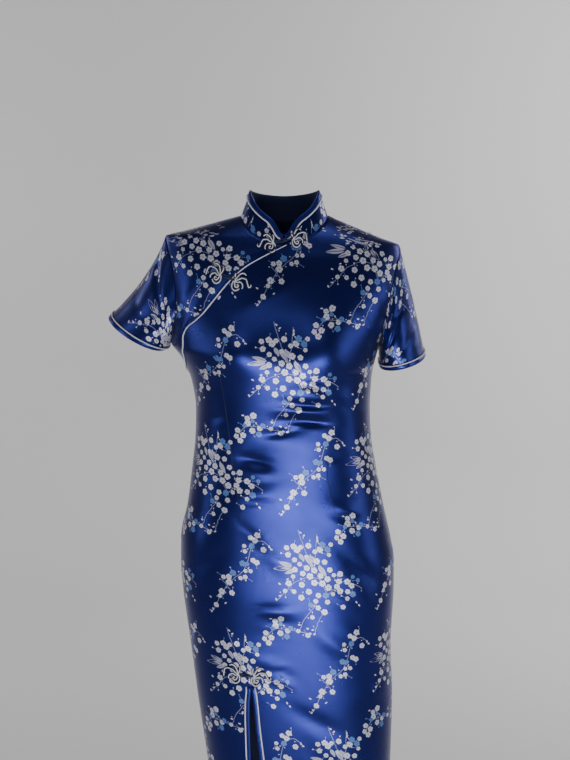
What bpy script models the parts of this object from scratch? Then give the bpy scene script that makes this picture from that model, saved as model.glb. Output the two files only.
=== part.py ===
import math
import bpy
import bmesh
import numpy as np
from mathutils import Vector
from mathutils.bvhtree import BVHTree

# A fitted, short-sleeved, stand-collared dress. Metres, front towards -Y, height along +Z.
# The origin is midway between the two side neck points, where the shoulder seams meet the collar.

WALL = 0.0015
EDGE = 0.00018
SLEEVE_EDGE = 0.0004
LIFT = 0.0004
COLLAR_LIFT = 0.0009
ROUNDNESS = 0.25
SIDE = math.pi / 2

# Body sections: height, left side, right side, middle of the side seams, front depth, back depth
BODY = [
    (0.000, -0.0730, 0.0716, 0.002, 0.018, 0.030),
    (-0.004, -0.0880, 0.0815, 0.001, 0.022, 0.040),
    (-0.012, -0.1180, 0.1010, 0.000, 0.031, 0.055),
    (-0.024, -0.1620, 0.1310, -0.001, 0.043, 0.066),
    (-0.034, -0.1990, 0.1560, -0.002, 0.050, 0.073),
    (-0.049, -0.2010, 0.1910, -0.002, 0.059, 0.082),
    (-0.070, -0.2020, 0.1960, -0.003, 0.071, 0.091),
    (-0.110, -0.2010, 0.1960, -0.003, 0.090, 0.102),
    (-0.160, -0.1980, 0.1830, -0.002, 0.107, 0.105),
    (-0.213, -0.1920, 0.1620, 0.000, 0.115, 0.100),
    (-0.232, -0.1790, 0.1550, 0.000, 0.116, 0.097),
    (-0.275, -0.1590, 0.1470, 0.000, 0.112, 0.090),
    (-0.325, -0.1520, 0.1450, -0.002, 0.103, 0.083),
    (-0.365, -0.1530, 0.1465, -0.003, 0.096, 0.080),
    (-0.429, -0.1600, 0.1570, -0.001, 0.092, 0.086),
    (-0.493, -0.1690, 0.1700, 0.002, 0.094, 0.096),
    (-0.550, -0.1810, 0.1830, 0.004, 0.096, 0.104),
    (-0.598, -0.1820, 0.1910, 0.005, 0.097, 0.108),
    (-0.647, -0.1790, 0.1910, 0.005, 0.097, 0.107),
    (-0.745, -0.1670, 0.1870, 0.004, 0.096, 0.100),
    (-0.846, -0.1550, 0.1910, 0.002, 0.095, 0.096),
    (-0.973, -0.1380, 0.1890, 0.000, 0.094, 0.094),
    (-1.110, -0.1270, 0.1840, 0.000, 0.093, 0.093),
    (-1.250, -0.1190, 0.1790, 0.000, 0.092, 0.092),
]

# Centre line: height, sideways drift
CENTRE = [
    (0.000, -0.0007),
    (-0.050, -0.0030),
    (-0.300, -0.0035),
    (-0.450, -0.0010),
    (-0.600, 0.0040),
    (-0.750, 0.0100),
    (-0.850, 0.0170),
    (-0.973, 0.0255),
    (-1.250, 0.0300),
]

# Darted bust shaping: sideways distance, height, depth, width, drop
BUST = (0.078, -0.212, 0.013, 0.044, 0.048)

# Folds and hollows in the front and back: sideways place, height, depth, width, drop, tilt
FOLDS = [
    (0.040, -0.285, 0.0030, 0.040, 0.018, -0.05),
    (0.030, -0.335, -0.0036, 0.045, 0.020, 0.06),
    (0.120, -0.270, -0.0030, 0.030, 0.018, -0.15),
    (-0.060, -0.400, -0.0030, 0.040, 0.022, 0.25),
    (-0.050, -0.462, 0.0032, 0.045, 0.022, 0.30),
    (0.105, -0.500, 0.0034, 0.035, 0.024, -0.35),
    (-0.020, -0.660, 0.0030, 0.050, 0.024, 0.10),
    (0.120, -0.640, 0.0034, 0.045, 0.026, -0.45),
]
BACK_FOLDS = [
    (-0.050, -0.330, -0.0044, 0.060, 0.018, 0.08),
    (0.045, -0.360, -0.0040, 0.060, 0.018, -0.06),
    (-0.010, -0.400, 0.0036, 0.070, 0.020, 0.02),
    (0.070, -0.660, -0.0036, 0.060, 0.026, 0.30),
    (-0.080, -0.700, -0.0036, 0.060, 0.026, -0.30),
]

NECK_WIDTH = 0.0722
NECK_FRONT_DROP = 0.047
NECK_BACK_DROP = 0.012
NECK_SWEEP = 1.5

# Shoulder tips, armpits and how far each armhole is scooped in: tip height, armpit height, front, back
ARMHOLE = {-1: (-0.034, -0.213, 0.47, 0.40), 1: (-0.049, -0.219, 0.47, 0.40)}
ARMHOLE_STEPS = 16

UNROLL = 0.14
EASE = 0.8
EASE_STEPS = 400

HEM = -1.25
JOIN = -0.262
SLIT_TOP = -0.794
ROWS = [
    HEM, -1.165, -1.080, -1.000, -0.930, -0.870, -0.825, SLIT_TOP, -0.750, -0.700, -0.655, -0.610,
    -0.565, -0.525, -0.490, -0.455, -0.425, -0.395, -0.365, -0.340, -0.315, -0.289, JOIN,
]

# Slanting front edge, from the side seam to the centre front: sideways, height
PLACKET = [
    (-0.1640, JOIN),
    (-0.1655, -0.249),
    (-0.1690, -0.225),
    (-0.1695, -0.203),
    (-0.1680, -0.187),
    (-0.1600, -0.175),
    (-0.1420, -0.160),
    (-0.1180, -0.131),
    (-0.0930, -0.101),
    (-0.0690, -0.080),
    (-0.0360, -0.062),
    (-0.0030, -0.047),
]

# Walking slit: height, sideways place of its centre, width of the gap
SLIT = [
    (SLIT_TOP, -0.0585, 0.0000),
    (-0.810, -0.0577, 0.0046),
    (-0.870, -0.0550, 0.0105),
    (-0.921, -0.0513, 0.0150),
    (-0.973, -0.0480, 0.0185),
    (-1.250, -0.0340, 0.0400),
]
COLUMNS_LEFT_OF_SLIT = 9
COLUMNS_RIGHT_OF_SLIT = 16
NECK_COLUMNS = 12
BACK_NECK_COLUMNS = 12
BACK_SHOULDER_COLUMNS = 5

# Sleeve hems: outer point, inner point, vector from the middle to the front of the hem, bulge at the top
SLEEVE = {
    -1: ((-0.298, 0.000, -0.174), (-0.2035, 0.000, -0.220), (0.0085, -0.0465, -0.0140), -0.011),
    1: ((0.238, 0.000, -0.235), (0.1610, 0.000, -0.254), (-0.003, -0.0560, -0.0060), 0.001),
}
SLEEVE_ROWS = 7
SLEEVE_FULLNESS = 0.006

# Stand collar: turn from the centre front in degrees, height along the collar
COLLAR = [
    (0, 0.0180),
    (4, 0.0210),
    (8, 0.0275),
    (12, 0.0335),
    (17, 0.0390),
    (25, 0.0430),
    (45, 0.0445),
    (90, 0.0445),
    (180, 0.0430),
]
COLLAR_TURNS = [0.5, 4, 8, 12, 17, 25, 34, 44, 55, 66, 78, 90, 103, 116, 129, 142, 155, 168, 180]
COLLAR_RISE = 0.0004
RIM_WIDTH = 0.0565
RIM_DEPTH = 0.047
RIM_MIDDLE = 0.004
RIM_SIDE = 0.0415
RIM_FRONT = -0.006
COLLAR_ROWS = 3

PIPING = 0.0013
PIPING_SIDES = 5
BINDING = 0.0008
COLLAR_BINDING_WIDTH = 0.0080
SLEEVE_BINDING_WIDTH = 0.0072
PLACKET_BINDING_WIDTH = 0.0036
SLIT_BINDING_WIDTH = 0.0060
PIPING_GAP = 0.0003

# Scroll strokes of a frog half, in millimetres from where its cords gather
SCROLL = [
    [(0, 0), (1.9, 6.3), (6.3, 12.7), (10.1, 13.9), (13.9, 12.0)],
    [(0, 0), (3.8, 1.9), (8.9, 6.3), (15.8, 7.6), (20.3, 5.1), (21.2, -1.3), (20.9, -7.0)],
    [(0, 0), (3.8, -1.9), (7.6, 0), (12.0, -1.9), (13.9, -6.3), (13.4, -9.0)],
    [(0, 0), (-2.5, -2.5), (-2.9, -7.6), (-0.6, -12.7), (3.8, -14.6), (7.6, -12.6), (9.9, -9.6)],
    [(0, 0), (0.2, -2.5), (1.3, -6.3), (3.2, -9.2), (5.7, -8.9), (7.2, -6.3)],
]
CURLED = [
    [(0, 0), (1.9, 6.3), (6.3, 12.7), (10.1, 13.9), (13.9, 12.0)],
    [(0, 0), (3.8, 1.9), (8.9, 6.3), (14.6, 6.8), (19.3, 1.6), (23.2, -3.4), (25.6, -0.9), (24.6, 1.8)],
    [(0, 0), (3.8, -1.9), (7.6, 0), (12.0, -1.9), (13.9, -6.3), (13.4, -9.0)],
    [(0, 0), (-2.5, -2.5), (-2.9, -7.6), (-0.6, -12.7), (3.8, -14.6), (7.6, -12.6), (9.9, -9.6)],
    [(0, 0), (0.2, -2.5), (1.3, -6.3), (3.2, -9.2), (5.7, -8.9), (7.2, -6.3)],
]

# Frogs: name, loop side gather, knot side gather, turn of the row in degrees, size, charts
FROGS = [
    ("neck", (-0.0195, -0.0420), (0.0140, -0.0355), 8, 1.00, (CURLED, SCROLL)),
    ("shoulder", (-0.1045, -0.0925), (-0.0800, -0.1010), -18, 1.05, (SCROLL, CURLED)),
    ("slit", (-0.0800, -0.7720), (-0.0530, -0.7740), -4, 1.15, (SCROLL, CURLED)),
]
CORD_WIDTH = 0.0013
CORD_HEIGHT = 0.0008
CORD_LIFT = 0.0006
CORD_STEPS = 7
HUB = 0.0019
HUB_SIDES = 7
LOOP_CORD = 0.0009
KNOT = 0.0030

NAVY = (0.030, 0.055, 0.32)
DEEP = (0.012, 0.020, 0.13)
WHITE = (0.72, 0.72, 0.80)
SLIT_BINDING_START = 0.0003
FEELERS = [
    (0, 0), (1, 0), (-1, 0), (0, 1), (0, -1), (0.7, 0.7), (-0.7, 0.7), (0.7, -0.7), (-0.7, -0.7),
]

# Scroll strokes: where each leaves the gather, how much later, higher and wider the next one is
STROKE_START = 0.08
STROKE_STAGGER = 0.03
STROKE_RISE = 0.00004
CORD_REACH = 0.0016

# Loop: half width, start, share of the way to the other half, height above the trims
LOOP_HALF = 0.0017
LOOP_START = 0.0022
LOOP_END = 0.62
LOOP_LIFT = 0.0008

# Knot: share of the way between the halves, radius
KNOT_STEPS = [
    (0.36, 0.0008),
    (0.40, 0.0021),
    (0.47, 0.0029),
    (0.55, 0.0029),
    (0.62, 0.0021),
    (0.68, 0.0011),
    (0.80, 0.0010),
    (0.90, 0.0010),
]
KNOT_SIDES = 8
KNOT_CLEAR = 0.0004
KNOT_FLAT = 0.75


def material(name, colour, roughness):
    """A plain surface colour for one kind of cloth."""
    made = bpy.data.materials.get(name)
    if made is None:
        made = bpy.data.materials.new(name)
        made.use_nodes = True
        shader = made.node_tree.nodes["Principled BSDF"]
        shader.inputs["Base Color"].default_value = (*colour, 1.0)
        shader.inputs["Roughness"].default_value = roughness
    return made


class Track:
    """A smooth value through a table, which never overshoots its rows."""

    def __init__(self, rows, column):
        order = sorted(rows)
        self.at = np.array([row[0] for row in order], dtype=float)
        self.value = np.array([row[column] for row in order], dtype=float)
        step = np.diff(self.at)
        rise = np.diff(self.value) / step
        slope = np.zeros(len(self.at))
        slope[0] = rise[0]
        slope[-1] = rise[-1]
        for i in range(1, len(rise)):
            if rise[i - 1] * rise[i] > 0:
                first = 2 * step[i] + step[i - 1]
                second = step[i] + 2 * step[i - 1]
                slope[i] = (first + second) / (first / rise[i - 1] + second / rise[i])
        self.slope = slope

    def __call__(self, where):
        x = np.clip(where, self.at[0], self.at[-1])
        i = np.clip(np.searchsorted(self.at, x) - 1, 0, len(self.at) - 2)
        step = self.at[i + 1] - self.at[i]
        t = (x - self.at[i]) / step
        keep = self.value[i] * (1 + 2 * t) * (1 - t) ** 2 + self.value[i + 1] * t * t * (3 - 2 * t)
        lean = self.slope[i] * t * (1 - t) ** 2 - self.slope[i + 1] * t * t * (1 - t)
        return keep + step * lean


LEFT = Track(BODY, 1)
RIGHT = Track(BODY, 2)
MIDDLE = Track(BODY, 3)
FRONT = Track(BODY, 4)
BACK = Track(BODY, 5)
DRIFT = Track(CENTRE, 1)
SLIT_PLACE = Track(SLIT, 1)
SLIT_GAP = Track(SLIT, 2)
COLLAR_HEIGHT = Track(COLLAR, 1)


def folded(x, z, rows):
    """Depth added by the largest folds."""
    total = np.zeros(np.broadcast(x, z).shape)
    for place, height, depth, width, drop, tilt in rows:
        across = (x - place) / width
        down = (z - height - tilt * (x - place)) / drop
        total = total + depth * np.exp(-across * across - down * down)
    return total


def form(turn, z):
    """The body surface at a turn about the centre line and a height."""
    turn = np.asarray(turn, dtype=float)
    z = np.asarray(z, dtype=float)
    side = np.sin(turn)
    ahead = np.cos(turn)
    middle = DRIFT(z)
    reach = np.where(side > 0, RIGHT(z) - middle, middle - LEFT(z))
    depth = np.where(ahead > 0, FRONT(z), BACK(z))
    x = middle + reach * side
    y = MIDDLE(z) - depth * ahead * (1 + ROUNDNESS * side * side)
    place, height, lift, width, drop = BUST
    down = np.exp(-(((z - height) / drop) ** 2))
    cups = np.exp(-(((x - middle - place) / width) ** 2)) + np.exp(-(((x - middle + place) / width) ** 2))
    facing = np.clip(ahead, 0, 1)
    behind = np.clip(-ahead, 0, 1)
    y = y - facing * (lift * down * cups + folded(x, z, FOLDS))
    y = y + behind * folded(x, z, BACK_FOLDS)
    return np.stack(np.broadcast_arrays(x, y, z), axis=-1)


def facing_out(turn, z, step=1e-4):
    """The outward direction of the body surface."""
    across = form(turn + step, z) - form(turn - step, z)
    up = form(turn, z + step) - form(turn, z - step)
    out = np.cross(across, up)
    return out / np.linalg.norm(out, axis=-1, keepdims=True)


def turn_at(x, z):
    """The turn at which the front of the body has this sideways place."""
    middle = DRIFT(z)
    reach = np.where(x > middle, RIGHT(z) - middle, middle - LEFT(z))
    return np.arcsin(np.clip((x - middle) / reach, -1, 1))


def neckline(angle):
    """Turn and height of the neckline, by angle from the centre front."""
    ahead = math.cos(angle)
    side = math.sin(angle)
    drop = NECK_FRONT_DROP if ahead > 0 else NECK_BACK_DROP
    z = -drop * abs(ahead) ** NECK_SWEEP
    x = float(DRIFT(z)) + NECK_WIDTH * side
    turn = float(turn_at(x, z))
    if abs(ahead) < 1e-6:
        turn = math.copysign(SIDE, side)
    if ahead < 0:
        turn = math.pi - turn
    return turn, z


def armhole(side, along, back):
    """Turn and height on the armhole: along is 0 at the armpit and 1 at the shoulder tip."""
    tip, pit, scoop_front, scoop_back = ARMHOLE[side]
    z = 0.5 * (tip + pit) - 0.5 * (tip - pit) * math.cos(math.pi * along)
    inward = math.sin(math.pi * along)
    if back:
        return side * SIDE + side * scoop_back * inward, z
    return side * SIDE - side * scoop_front * inward, z


def even(points, count):
    """Resamples a line of points to this many even steps."""
    points = np.array(points, dtype=float)
    far = np.concatenate([[0], np.cumsum(np.linalg.norm(np.diff(points, axis=0), axis=1))])
    tracks = [Track(list(zip(far, points[:, k])), 1) for k in range(points.shape[1])]
    places = np.linspace(0, far[-1], count + 1)
    return np.stack([track(places) for track in tracks], axis=1)


def shares(edge):
    """How far along an edge each of its points lies, from 0 to 1."""
    points = form(edge[:, 0], edge[:, 1])
    far = np.concatenate([[0], np.cumsum(np.linalg.norm(np.diff(points, axis=0), axis=1))])
    return far / far[-1]


def patch(bottom, top, left, right):
    """A grid of turns and heights between four edges."""
    rows = len(left)
    columns = len(bottom)
    row = np.linspace(0, 1, rows)[:, None]
    column = np.linspace(0, 1, columns)[None, :]
    u = ((1 - row) * shares(bottom)[None, :] + row * shares(top)[None, :])[..., None]
    v = ((1 - column) * shares(left)[:, None] + column * shares(right)[:, None])[..., None]
    sides = (1 - u) * left[:, None, :] + u * right[:, None, :]
    ends = (1 - v) * bottom[None, :, :] + v * top[None, :, :]
    corners = (1 - u) * (1 - v) * bottom[0] + u * (1 - v) * bottom[-1]
    corners = corners + (1 - u) * v * top[0] + u * v * top[-1]
    return eased(sides + ends - corners)


def eased(places):
    """Evens out a grid until none of its cells fold over, with its edges kept."""
    grid = places * np.array([UNROLL, 1.0])
    for _ in range(EASE_STEPS):
        along = (grid[1:-1, 2:] - grid[1:-1, :-2]) / 2
        up = (grid[2:, 1:-1] - grid[:-2, 1:-1]) / 2
        a = np.sum(up * up, axis=-1, keepdims=True)
        b = np.sum(along * up, axis=-1, keepdims=True)
        c = np.sum(along * along, axis=-1, keepdims=True)
        cross = (grid[2:, 2:] - grid[2:, :-2] - grid[:-2, 2:] + grid[:-2, :-2]) / 4
        total = a * (grid[1:-1, 2:] + grid[1:-1, :-2]) - 2 * b * cross
        total = total + c * (grid[2:, 1:-1] + grid[:-2, 1:-1])
        target = total / np.maximum(2 * (a + c), 1e-12)
        grid[1:-1, 1:-1] += EASE * (target - grid[1:-1, 1:-1])
    return grid / np.array([UNROLL, 1.0])


def solid(name, outer, inner, faces, colour, roughness=0.45, smooth=True):
    """Closes a wall between matching outer and inner points."""
    count = len(outer)
    used = {(face[k], face[(k + 1) % len(face)]) for face in faces for k in range(len(face))}
    shell = [tuple(face) for face in faces]
    shell += [tuple(count + k for k in reversed(face)) for face in faces]
    shell += [(b, a, a + count, b + count) for a, b in used if (b, a) not in used]
    mesh = bpy.data.meshes.new(name)
    mesh.from_pydata([tuple(p) for p in np.concatenate([outer, inner])], [], shell)
    work = bmesh.new()
    work.from_mesh(mesh)
    bmesh.ops.delete(work, geom=[v for v in work.verts if not v.link_faces], context="VERTS")
    bmesh.ops.recalc_face_normals(work, faces=work.faces)
    work.to_mesh(mesh)
    work.free()
    mesh.polygons.foreach_set("use_smooth", [smooth] * len(mesh.polygons))
    item = bpy.data.objects.new(name, mesh)
    bpy.context.collection.objects.link(item)
    mesh.materials.append(material(*colour, roughness))
    return item


def grid_faces(rows, columns, closed=False):
    """Quads of a grid, outward when rows go up and columns go round to the right."""
    wide = columns if closed else columns - 1
    faces = []
    for r in range(rows - 1):
        for c in range(wide):
            d = (c + 1) % columns
            faces.append((r * columns + c, r * columns + d, (r + 1) * columns + d, (r + 1) * columns + c))
    return faces


def pulled(points, closed=False, edge=EDGE):
    """Moves the edge points of a grid a little inwards, so that seams stay open."""
    rows, columns = points.shape[:2]
    moved = points.copy()
    for r in range(rows):
        for c in range(columns):
            to_r = 1 if r == 0 else rows - 2 if r == rows - 1 else r
            to_c = c if closed else 1 if c == 0 else columns - 2 if c == columns - 1 else c
            if (to_r, to_c) != (r, c):
                way = points[to_r, to_c] - points[r, c]
                far = np.linalg.norm(way)
                both = 1.5 if to_r != r and to_c != c else 1.0
                moved[r, c] = points[r, c] + way / far * edge * both
    return moved


def unit(vectors):
    return vectors / np.maximum(np.linalg.norm(vectors, axis=-1, keepdims=True), 1e-12)


# Sleeves come first, because the armhole edges lean halfway between body and sleeve
def armhole_ring(side):
    """Turns and heights right round one armhole, from the shoulder tip down the front and up the back."""
    places = []
    for k in range(ARMHOLE_STEPS):
        places.append(armhole(side, 1 - k / ARMHOLE_STEPS, False))
    for k in range(ARMHOLE_STEPS):
        places.append(armhole(side, k / ARMHOLE_STEPS, True))
    return np.array(places)


def sleeve_grid(side):
    """Rows of points from the armhole to the hem."""
    places = armhole_ring(side)
    start = form(places[:, 0], places[:, 1])
    outer, inner, ahead, bulge = SLEEVE[side]
    outer = np.array(outer)
    inner = np.array(inner)
    ahead = np.array(ahead)
    centre = (outer + inner) / 2
    count = len(start)
    angle = np.arange(count) / count * 2 * math.pi
    end = centre + np.cos(angle)[:, None] * (outer - inner) / 2 + np.sin(angle)[:, None] * ahead
    out = unit(end - centre)
    rows = []
    for r in range(SLEEVE_ROWS + 1):
        s = r / SLEEVE_ROWS
        full = 4 * s * (1 - s)
        upper = np.clip(np.cos(angle), 0, 1)[:, None] ** 2
        facing = np.abs(np.sin(angle))[:, None]
        push = full * (bulge * upper + SLEEVE_FULLNESS * facing)
        rows.append(start * (1 - s) + end * s + out * push)
    return np.array(rows)


def grid_normals(points, closed):
    """Outward directions of a grid of rows and columns."""
    down = np.gradient(points, axis=0)
    if closed:
        across = np.roll(points, -1, axis=1) - np.roll(points, 1, axis=1)
    else:
        across = np.gradient(points, axis=1)
    return unit(np.cross(across, down))


SLEEVES = {side: sleeve_grid(side) for side in (-1, 1)}
SLEEVE_OUT = {}
MITRE = {}
for side in (-1, 1):
    normals = grid_normals(SLEEVES[side], True)
    middle = SLEEVES[side].mean(axis=1, keepdims=True)
    if np.sum(normals * (SLEEVES[side] - middle)) < 0:
        normals = -normals
    ring = armhole_ring(side)
    body = facing_out(ring[:, 0], ring[:, 1])
    lean = unit(normals[0] + body)
    stretch = 1 / np.clip(np.sum(lean * body, axis=1, keepdims=True), 0.6, 1)
    MITRE[side] = lean * stretch
    normals[0] = MITRE[side]
    SLEEVE_OUT[side] = normals


def body_wall(places, mitres):
    """Outer and inner points of a body panel, from its turns and heights."""
    surface = form(places[..., 0], places[..., 1])
    out = facing_out(places[..., 0], places[..., 1])
    for row, column, lean in mitres:
        out[row, column] = lean
    return surface, out


def armhole_leans(side, back, first_row, column):
    """The leaning directions for the armhole part of one edge, going up."""
    leans = []
    for k in range(ARMHOLE_STEPS + 1):
        ring = ARMHOLE_STEPS - k if not back else (ARMHOLE_STEPS + k) % (2 * ARMHOLE_STEPS)
        leans.append((first_row + k, column, MITRE[side][ring]))
    return leans


# Edges of the panels, as turns and heights
UPPER_STEPS = ARMHOLE_STEPS + 1


def side_and_armhole(side, back):
    """From the join height up the side seam and round the armhole to the shoulder tip."""
    start = side * SIDE
    rows = [(start, JOIN)]
    rows += [armhole(side, k / ARMHOLE_STEPS, back) for k in range(ARMHOLE_STEPS + 1)]
    return np.array(rows)


def placket_edge():
    """The slanting edge of the front in turns and heights."""
    line = even(PLACKET, UPPER_STEPS)
    places = np.stack([turn_at(line[:, 0], line[:, 1]), line[:, 1]], axis=1)
    places[0] = (-SIDE, JOIN)
    places[-1] = (0.0, -NECK_FRONT_DROP)
    return places


SLIT_TURN = float(turn_at(-0.0500, -0.950))
LEFT_TURNS = np.linspace(-SIDE, SLIT_TURN, COLUMNS_LEFT_OF_SLIT + 1)
RIGHT_TURNS = np.linspace(SLIT_TURN, SIDE, COLUMNS_RIGHT_OF_SLIT + 1)[1:]
FRONT_TURNS = np.concatenate([LEFT_TURNS, RIGHT_TURNS])
SLIT_ROW = ROWS.index(SLIT_TOP)


def slit_turns(z, half):
    """Turns of the two slit edges at one height; half is -1 for the left edge and 1 for the right."""
    x = SLIT_PLACE(z) + half * SLIT_GAP(z) / 2
    return float(turn_at(x, z))


def lower_front():
    """Turns and heights of the front below the join, with the slit columns moved to the slit."""
    places = np.zeros((len(ROWS), len(FRONT_TURNS), 2))
    for r, z in enumerate(ROWS):
        fade = np.clip((-0.60 - z) / 0.15, 0, 1)
        above = SLIT_TURN + fade * (slit_turns(SLIT_TOP, -1) - SLIT_TURN)
        left = slit_turns(z, -1) if z <= SLIT_TOP else above
        right = slit_turns(z, 1) if z <= SLIT_TOP else left
        for c, turn in enumerate(FRONT_TURNS):
            if c <= COLUMNS_LEFT_OF_SLIT:
                near = (turn + SIDE) / (SLIT_TURN + SIDE)
                turn = turn + (left - SLIT_TURN) * near * near
            else:
                near = (SIDE - turn) / (SIDE - SLIT_TURN)
                turn = turn + (right - SLIT_TURN) * near * near
            places[r, c] = (turn, z)
    return places


def shoulder(side, count):
    """Shoulder seam from the side neck point to the shoulder tip."""
    tip = ARMHOLE[side][0]
    return np.array([(side * SIDE, tip * k / count) for k in range(count + 1)])


def front_places():
    lower = lower_front()
    columns = len(FRONT_TURNS)
    neck = [neckline(SIDE * k / NECK_COLUMNS) for k in range(NECK_COLUMNS + 1)]
    seam = shoulder(1, columns - 1 - NECK_COLUMNS)[1:]
    top = np.array(list(neck) + list(seam))
    upper = patch(lower[-1], top, placket_edge(), side_and_armhole(1, False))
    return np.concatenate([lower, upper[1:]])


def build_front():
    """The large front panel, split up its slit, and the points that the trims are made from."""
    places = front_places()
    rows, columns = places.shape[:2]
    leans = armhole_leans(1, False, len(ROWS), columns - 1)
    surface, out = body_wall(places, leans)
    moved = pulled(surface)
    flat = list(moved.reshape(-1, 3))
    ways = list(out.reshape(-1, 3))
    right_edge = {}
    column = COLUMNS_LEFT_OF_SLIT
    for r in range(SLIT_ROW):
        z = ROWS[r]
        turn = slit_turns(z, 1)
        right_edge[r] = len(flat)
        flat.append(form(turn, z))
        ways.append(facing_out(turn, z))
    faces = []
    for face in grid_faces(rows, columns):
        r, c = divmod(face[0], columns)
        if c == column and r < SLIT_ROW:
            upper = right_edge.get(r + 1, face[3])
            face = (right_edge[r], face[1], face[2], upper)
        faces.append(face)
    outer = np.array(flat)
    inner = outer - WALL * np.array(ways)
    item = solid("front", outer, inner, faces, ("brocade", NAVY))
    right_edge[SLIT_ROW] = SLIT_ROW * columns + column
    slit_left = [moved[r, column] for r in range(SLIT_ROW + 1)]
    slit_left_in = [moved[r, column - 1] for r in range(SLIT_ROW + 1)]
    slit_right = [outer[right_edge[r]] for r in range(SLIT_ROW + 1)]
    slit_right_in = [moved[r, column + 1] for r in range(SLIT_ROW + 1)]
    slit_out = [out[r, column] for r in range(SLIT_ROW + 1)]
    edges = {
        "placket": (moved[len(ROWS) - 1 :, 0], moved[len(ROWS) - 1 :, 1], out[len(ROWS) - 1 :, 0]),
        "slit_left": (np.array(slit_left), np.array(slit_left_in), np.array(slit_out)),
        "slit_right": (np.array(slit_right), np.array(slit_right_in), np.array(slit_out)),
    }
    overlap = (surface[len(ROWS) - 1 :, :2], out[len(ROWS) - 1 :, :2])
    return item, edges, overlap


UNDER_DIP = 0.0021
UNDER_FADE = (1.0, 1.0, 0.45, 0.12)


def build_under(overlap):
    """The shoulder piece beneath the slanting edge; its first rows are the front's, moved in."""
    edge, ways = overlap
    placket = placket_edge()
    seam = shoulder(-1, UPPER_STEPS)[::-1]
    armhole_side = side_and_armhole(-1, False)
    neck = np.array([neckline(-SIDE * k / (UPPER_STEPS)) for k in range(UPPER_STEPS + 1)])
    places = patch(placket, seam, armhole_side, neck)
    leans = armhole_leans(-1, False, 1, 0)
    surface, out = body_wall(places, leans)
    surface = pulled(surface)
    surface = np.concatenate([edge[None, :, 1], surface])
    out = np.concatenate([ways[None, :, 1], out])
    surface[0, 0] += unit(surface[1, 0] - surface[0, 0]) * 0.002
    surface[0, 0] += unit(surface[0, 1] - surface[0, 0]) * EDGE
    surface[0, -1] += unit(surface[0, -2] - surface[0, -1]) * EDGE
    surface[1, 1:-1] = edge[1:-1, 0]
    for r, dip in enumerate(UNDER_FADE):
        surface[r] -= out[r] * UNDER_DIP * dip
    rows, columns = surface.shape[:2]
    outer = surface.reshape(-1, 3)
    inner = outer - WALL * out.reshape(-1, 3)
    return solid("front_under", outer, inner, grid_faces(rows, columns), ("brocade", NAVY))


def build_back():
    """The back in one piece, from side seam to side seam."""
    columns = 2 * BACK_SHOULDER_COLUMNS + BACK_NECK_COLUMNS
    turns = np.linspace(SIDE, 3 * SIDE, columns + 1)
    lower = np.array([[(turn, z) for turn in turns] for z in ROWS])
    right_seam = shoulder(1, BACK_SHOULDER_COLUMNS)[::-1]
    left_seam = shoulder(-1, BACK_SHOULDER_COLUMNS)[1:]
    left_seam[:, 0] += 2 * math.pi
    step = math.pi / BACK_NECK_COLUMNS
    neck = [neckline(SIDE + step * k) for k in range(1, BACK_NECK_COLUMNS)]
    neck = [(turn % (2 * math.pi), z) for turn, z in neck] + [(3 * SIDE, 0.0)]
    top = np.concatenate([right_seam, np.array(neck), left_seam])
    right = side_and_armhole(1, True)
    left = side_and_armhole(-1, True)
    left[:, 0] += 2 * math.pi
    upper = patch(lower[-1], top, right, left)
    places = np.concatenate([lower, upper[1:]])
    leans = armhole_leans(1, True, len(ROWS), 0) + armhole_leans(-1, True, len(ROWS), columns)
    surface, out = body_wall(places, leans)
    moved = pulled(surface)
    outer = moved.reshape(-1, 3)
    inner = outer - WALL * out.reshape(-1, 3)
    rows, wide = places.shape[:2]
    return solid("back", outer, inner, grid_faces(rows, wide), ("brocade", NAVY))


def build_sleeve(side, name):
    points = SLEEVES[side]
    moved = pulled(points, closed=True, edge=SLEEVE_EDGE)
    rows, columns = points.shape[:2]
    outer = moved.reshape(-1, 3)
    inner = outer - WALL * SLEEVE_OUT[side].reshape(-1, 3)
    item = solid(name, outer, inner, grid_faces(rows, columns, closed=True), ("brocade", NAVY))
    return item, (moved[-1], moved[-2], SLEEVE_OUT[side][-1])


def collar_grid():
    """Rows of points from the neckline to the rim, from one front end round to the other."""
    angles = [math.radians(t) for t in COLLAR_TURNS]
    around = angles + [2 * math.pi - a for a in reversed(angles[:-1])]
    columns = []
    heights = []
    for angle in around:
        folded_angle = angle if angle <= math.pi else 2 * math.pi - angle
        turn, z = neckline(folded_angle)
        side = 1 if angle <= math.pi else -1
        if side < 0:
            turn, z = neckline(-folded_angle)
        base = form(turn, z)
        ahead = math.cos(folded_angle)
        rim_z = RIM_SIDE + (RIM_FRONT - RIM_SIDE) * max(ahead, 0) ** NECK_SWEEP
        rim_x = float(DRIFT(0.0)) + side * RIM_WIDTH * math.sin(folded_angle)
        rim = np.array([rim_x, RIM_MIDDLE - RIM_DEPTH * ahead, rim_z])
        way = (rim - base) / np.linalg.norm(rim - base)
        height = float(COLLAR_HEIGHT(math.degrees(folded_angle)))
        heights.append(height)
        steps = [COLLAR_RISE + (height - COLLAR_RISE) * r / COLLAR_ROWS for r in range(COLLAR_ROWS + 1)]
        columns.append([base + way * step for step in steps])
    points = np.array(columns).transpose(1, 0, 2)
    return points, np.array(heights)


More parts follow.
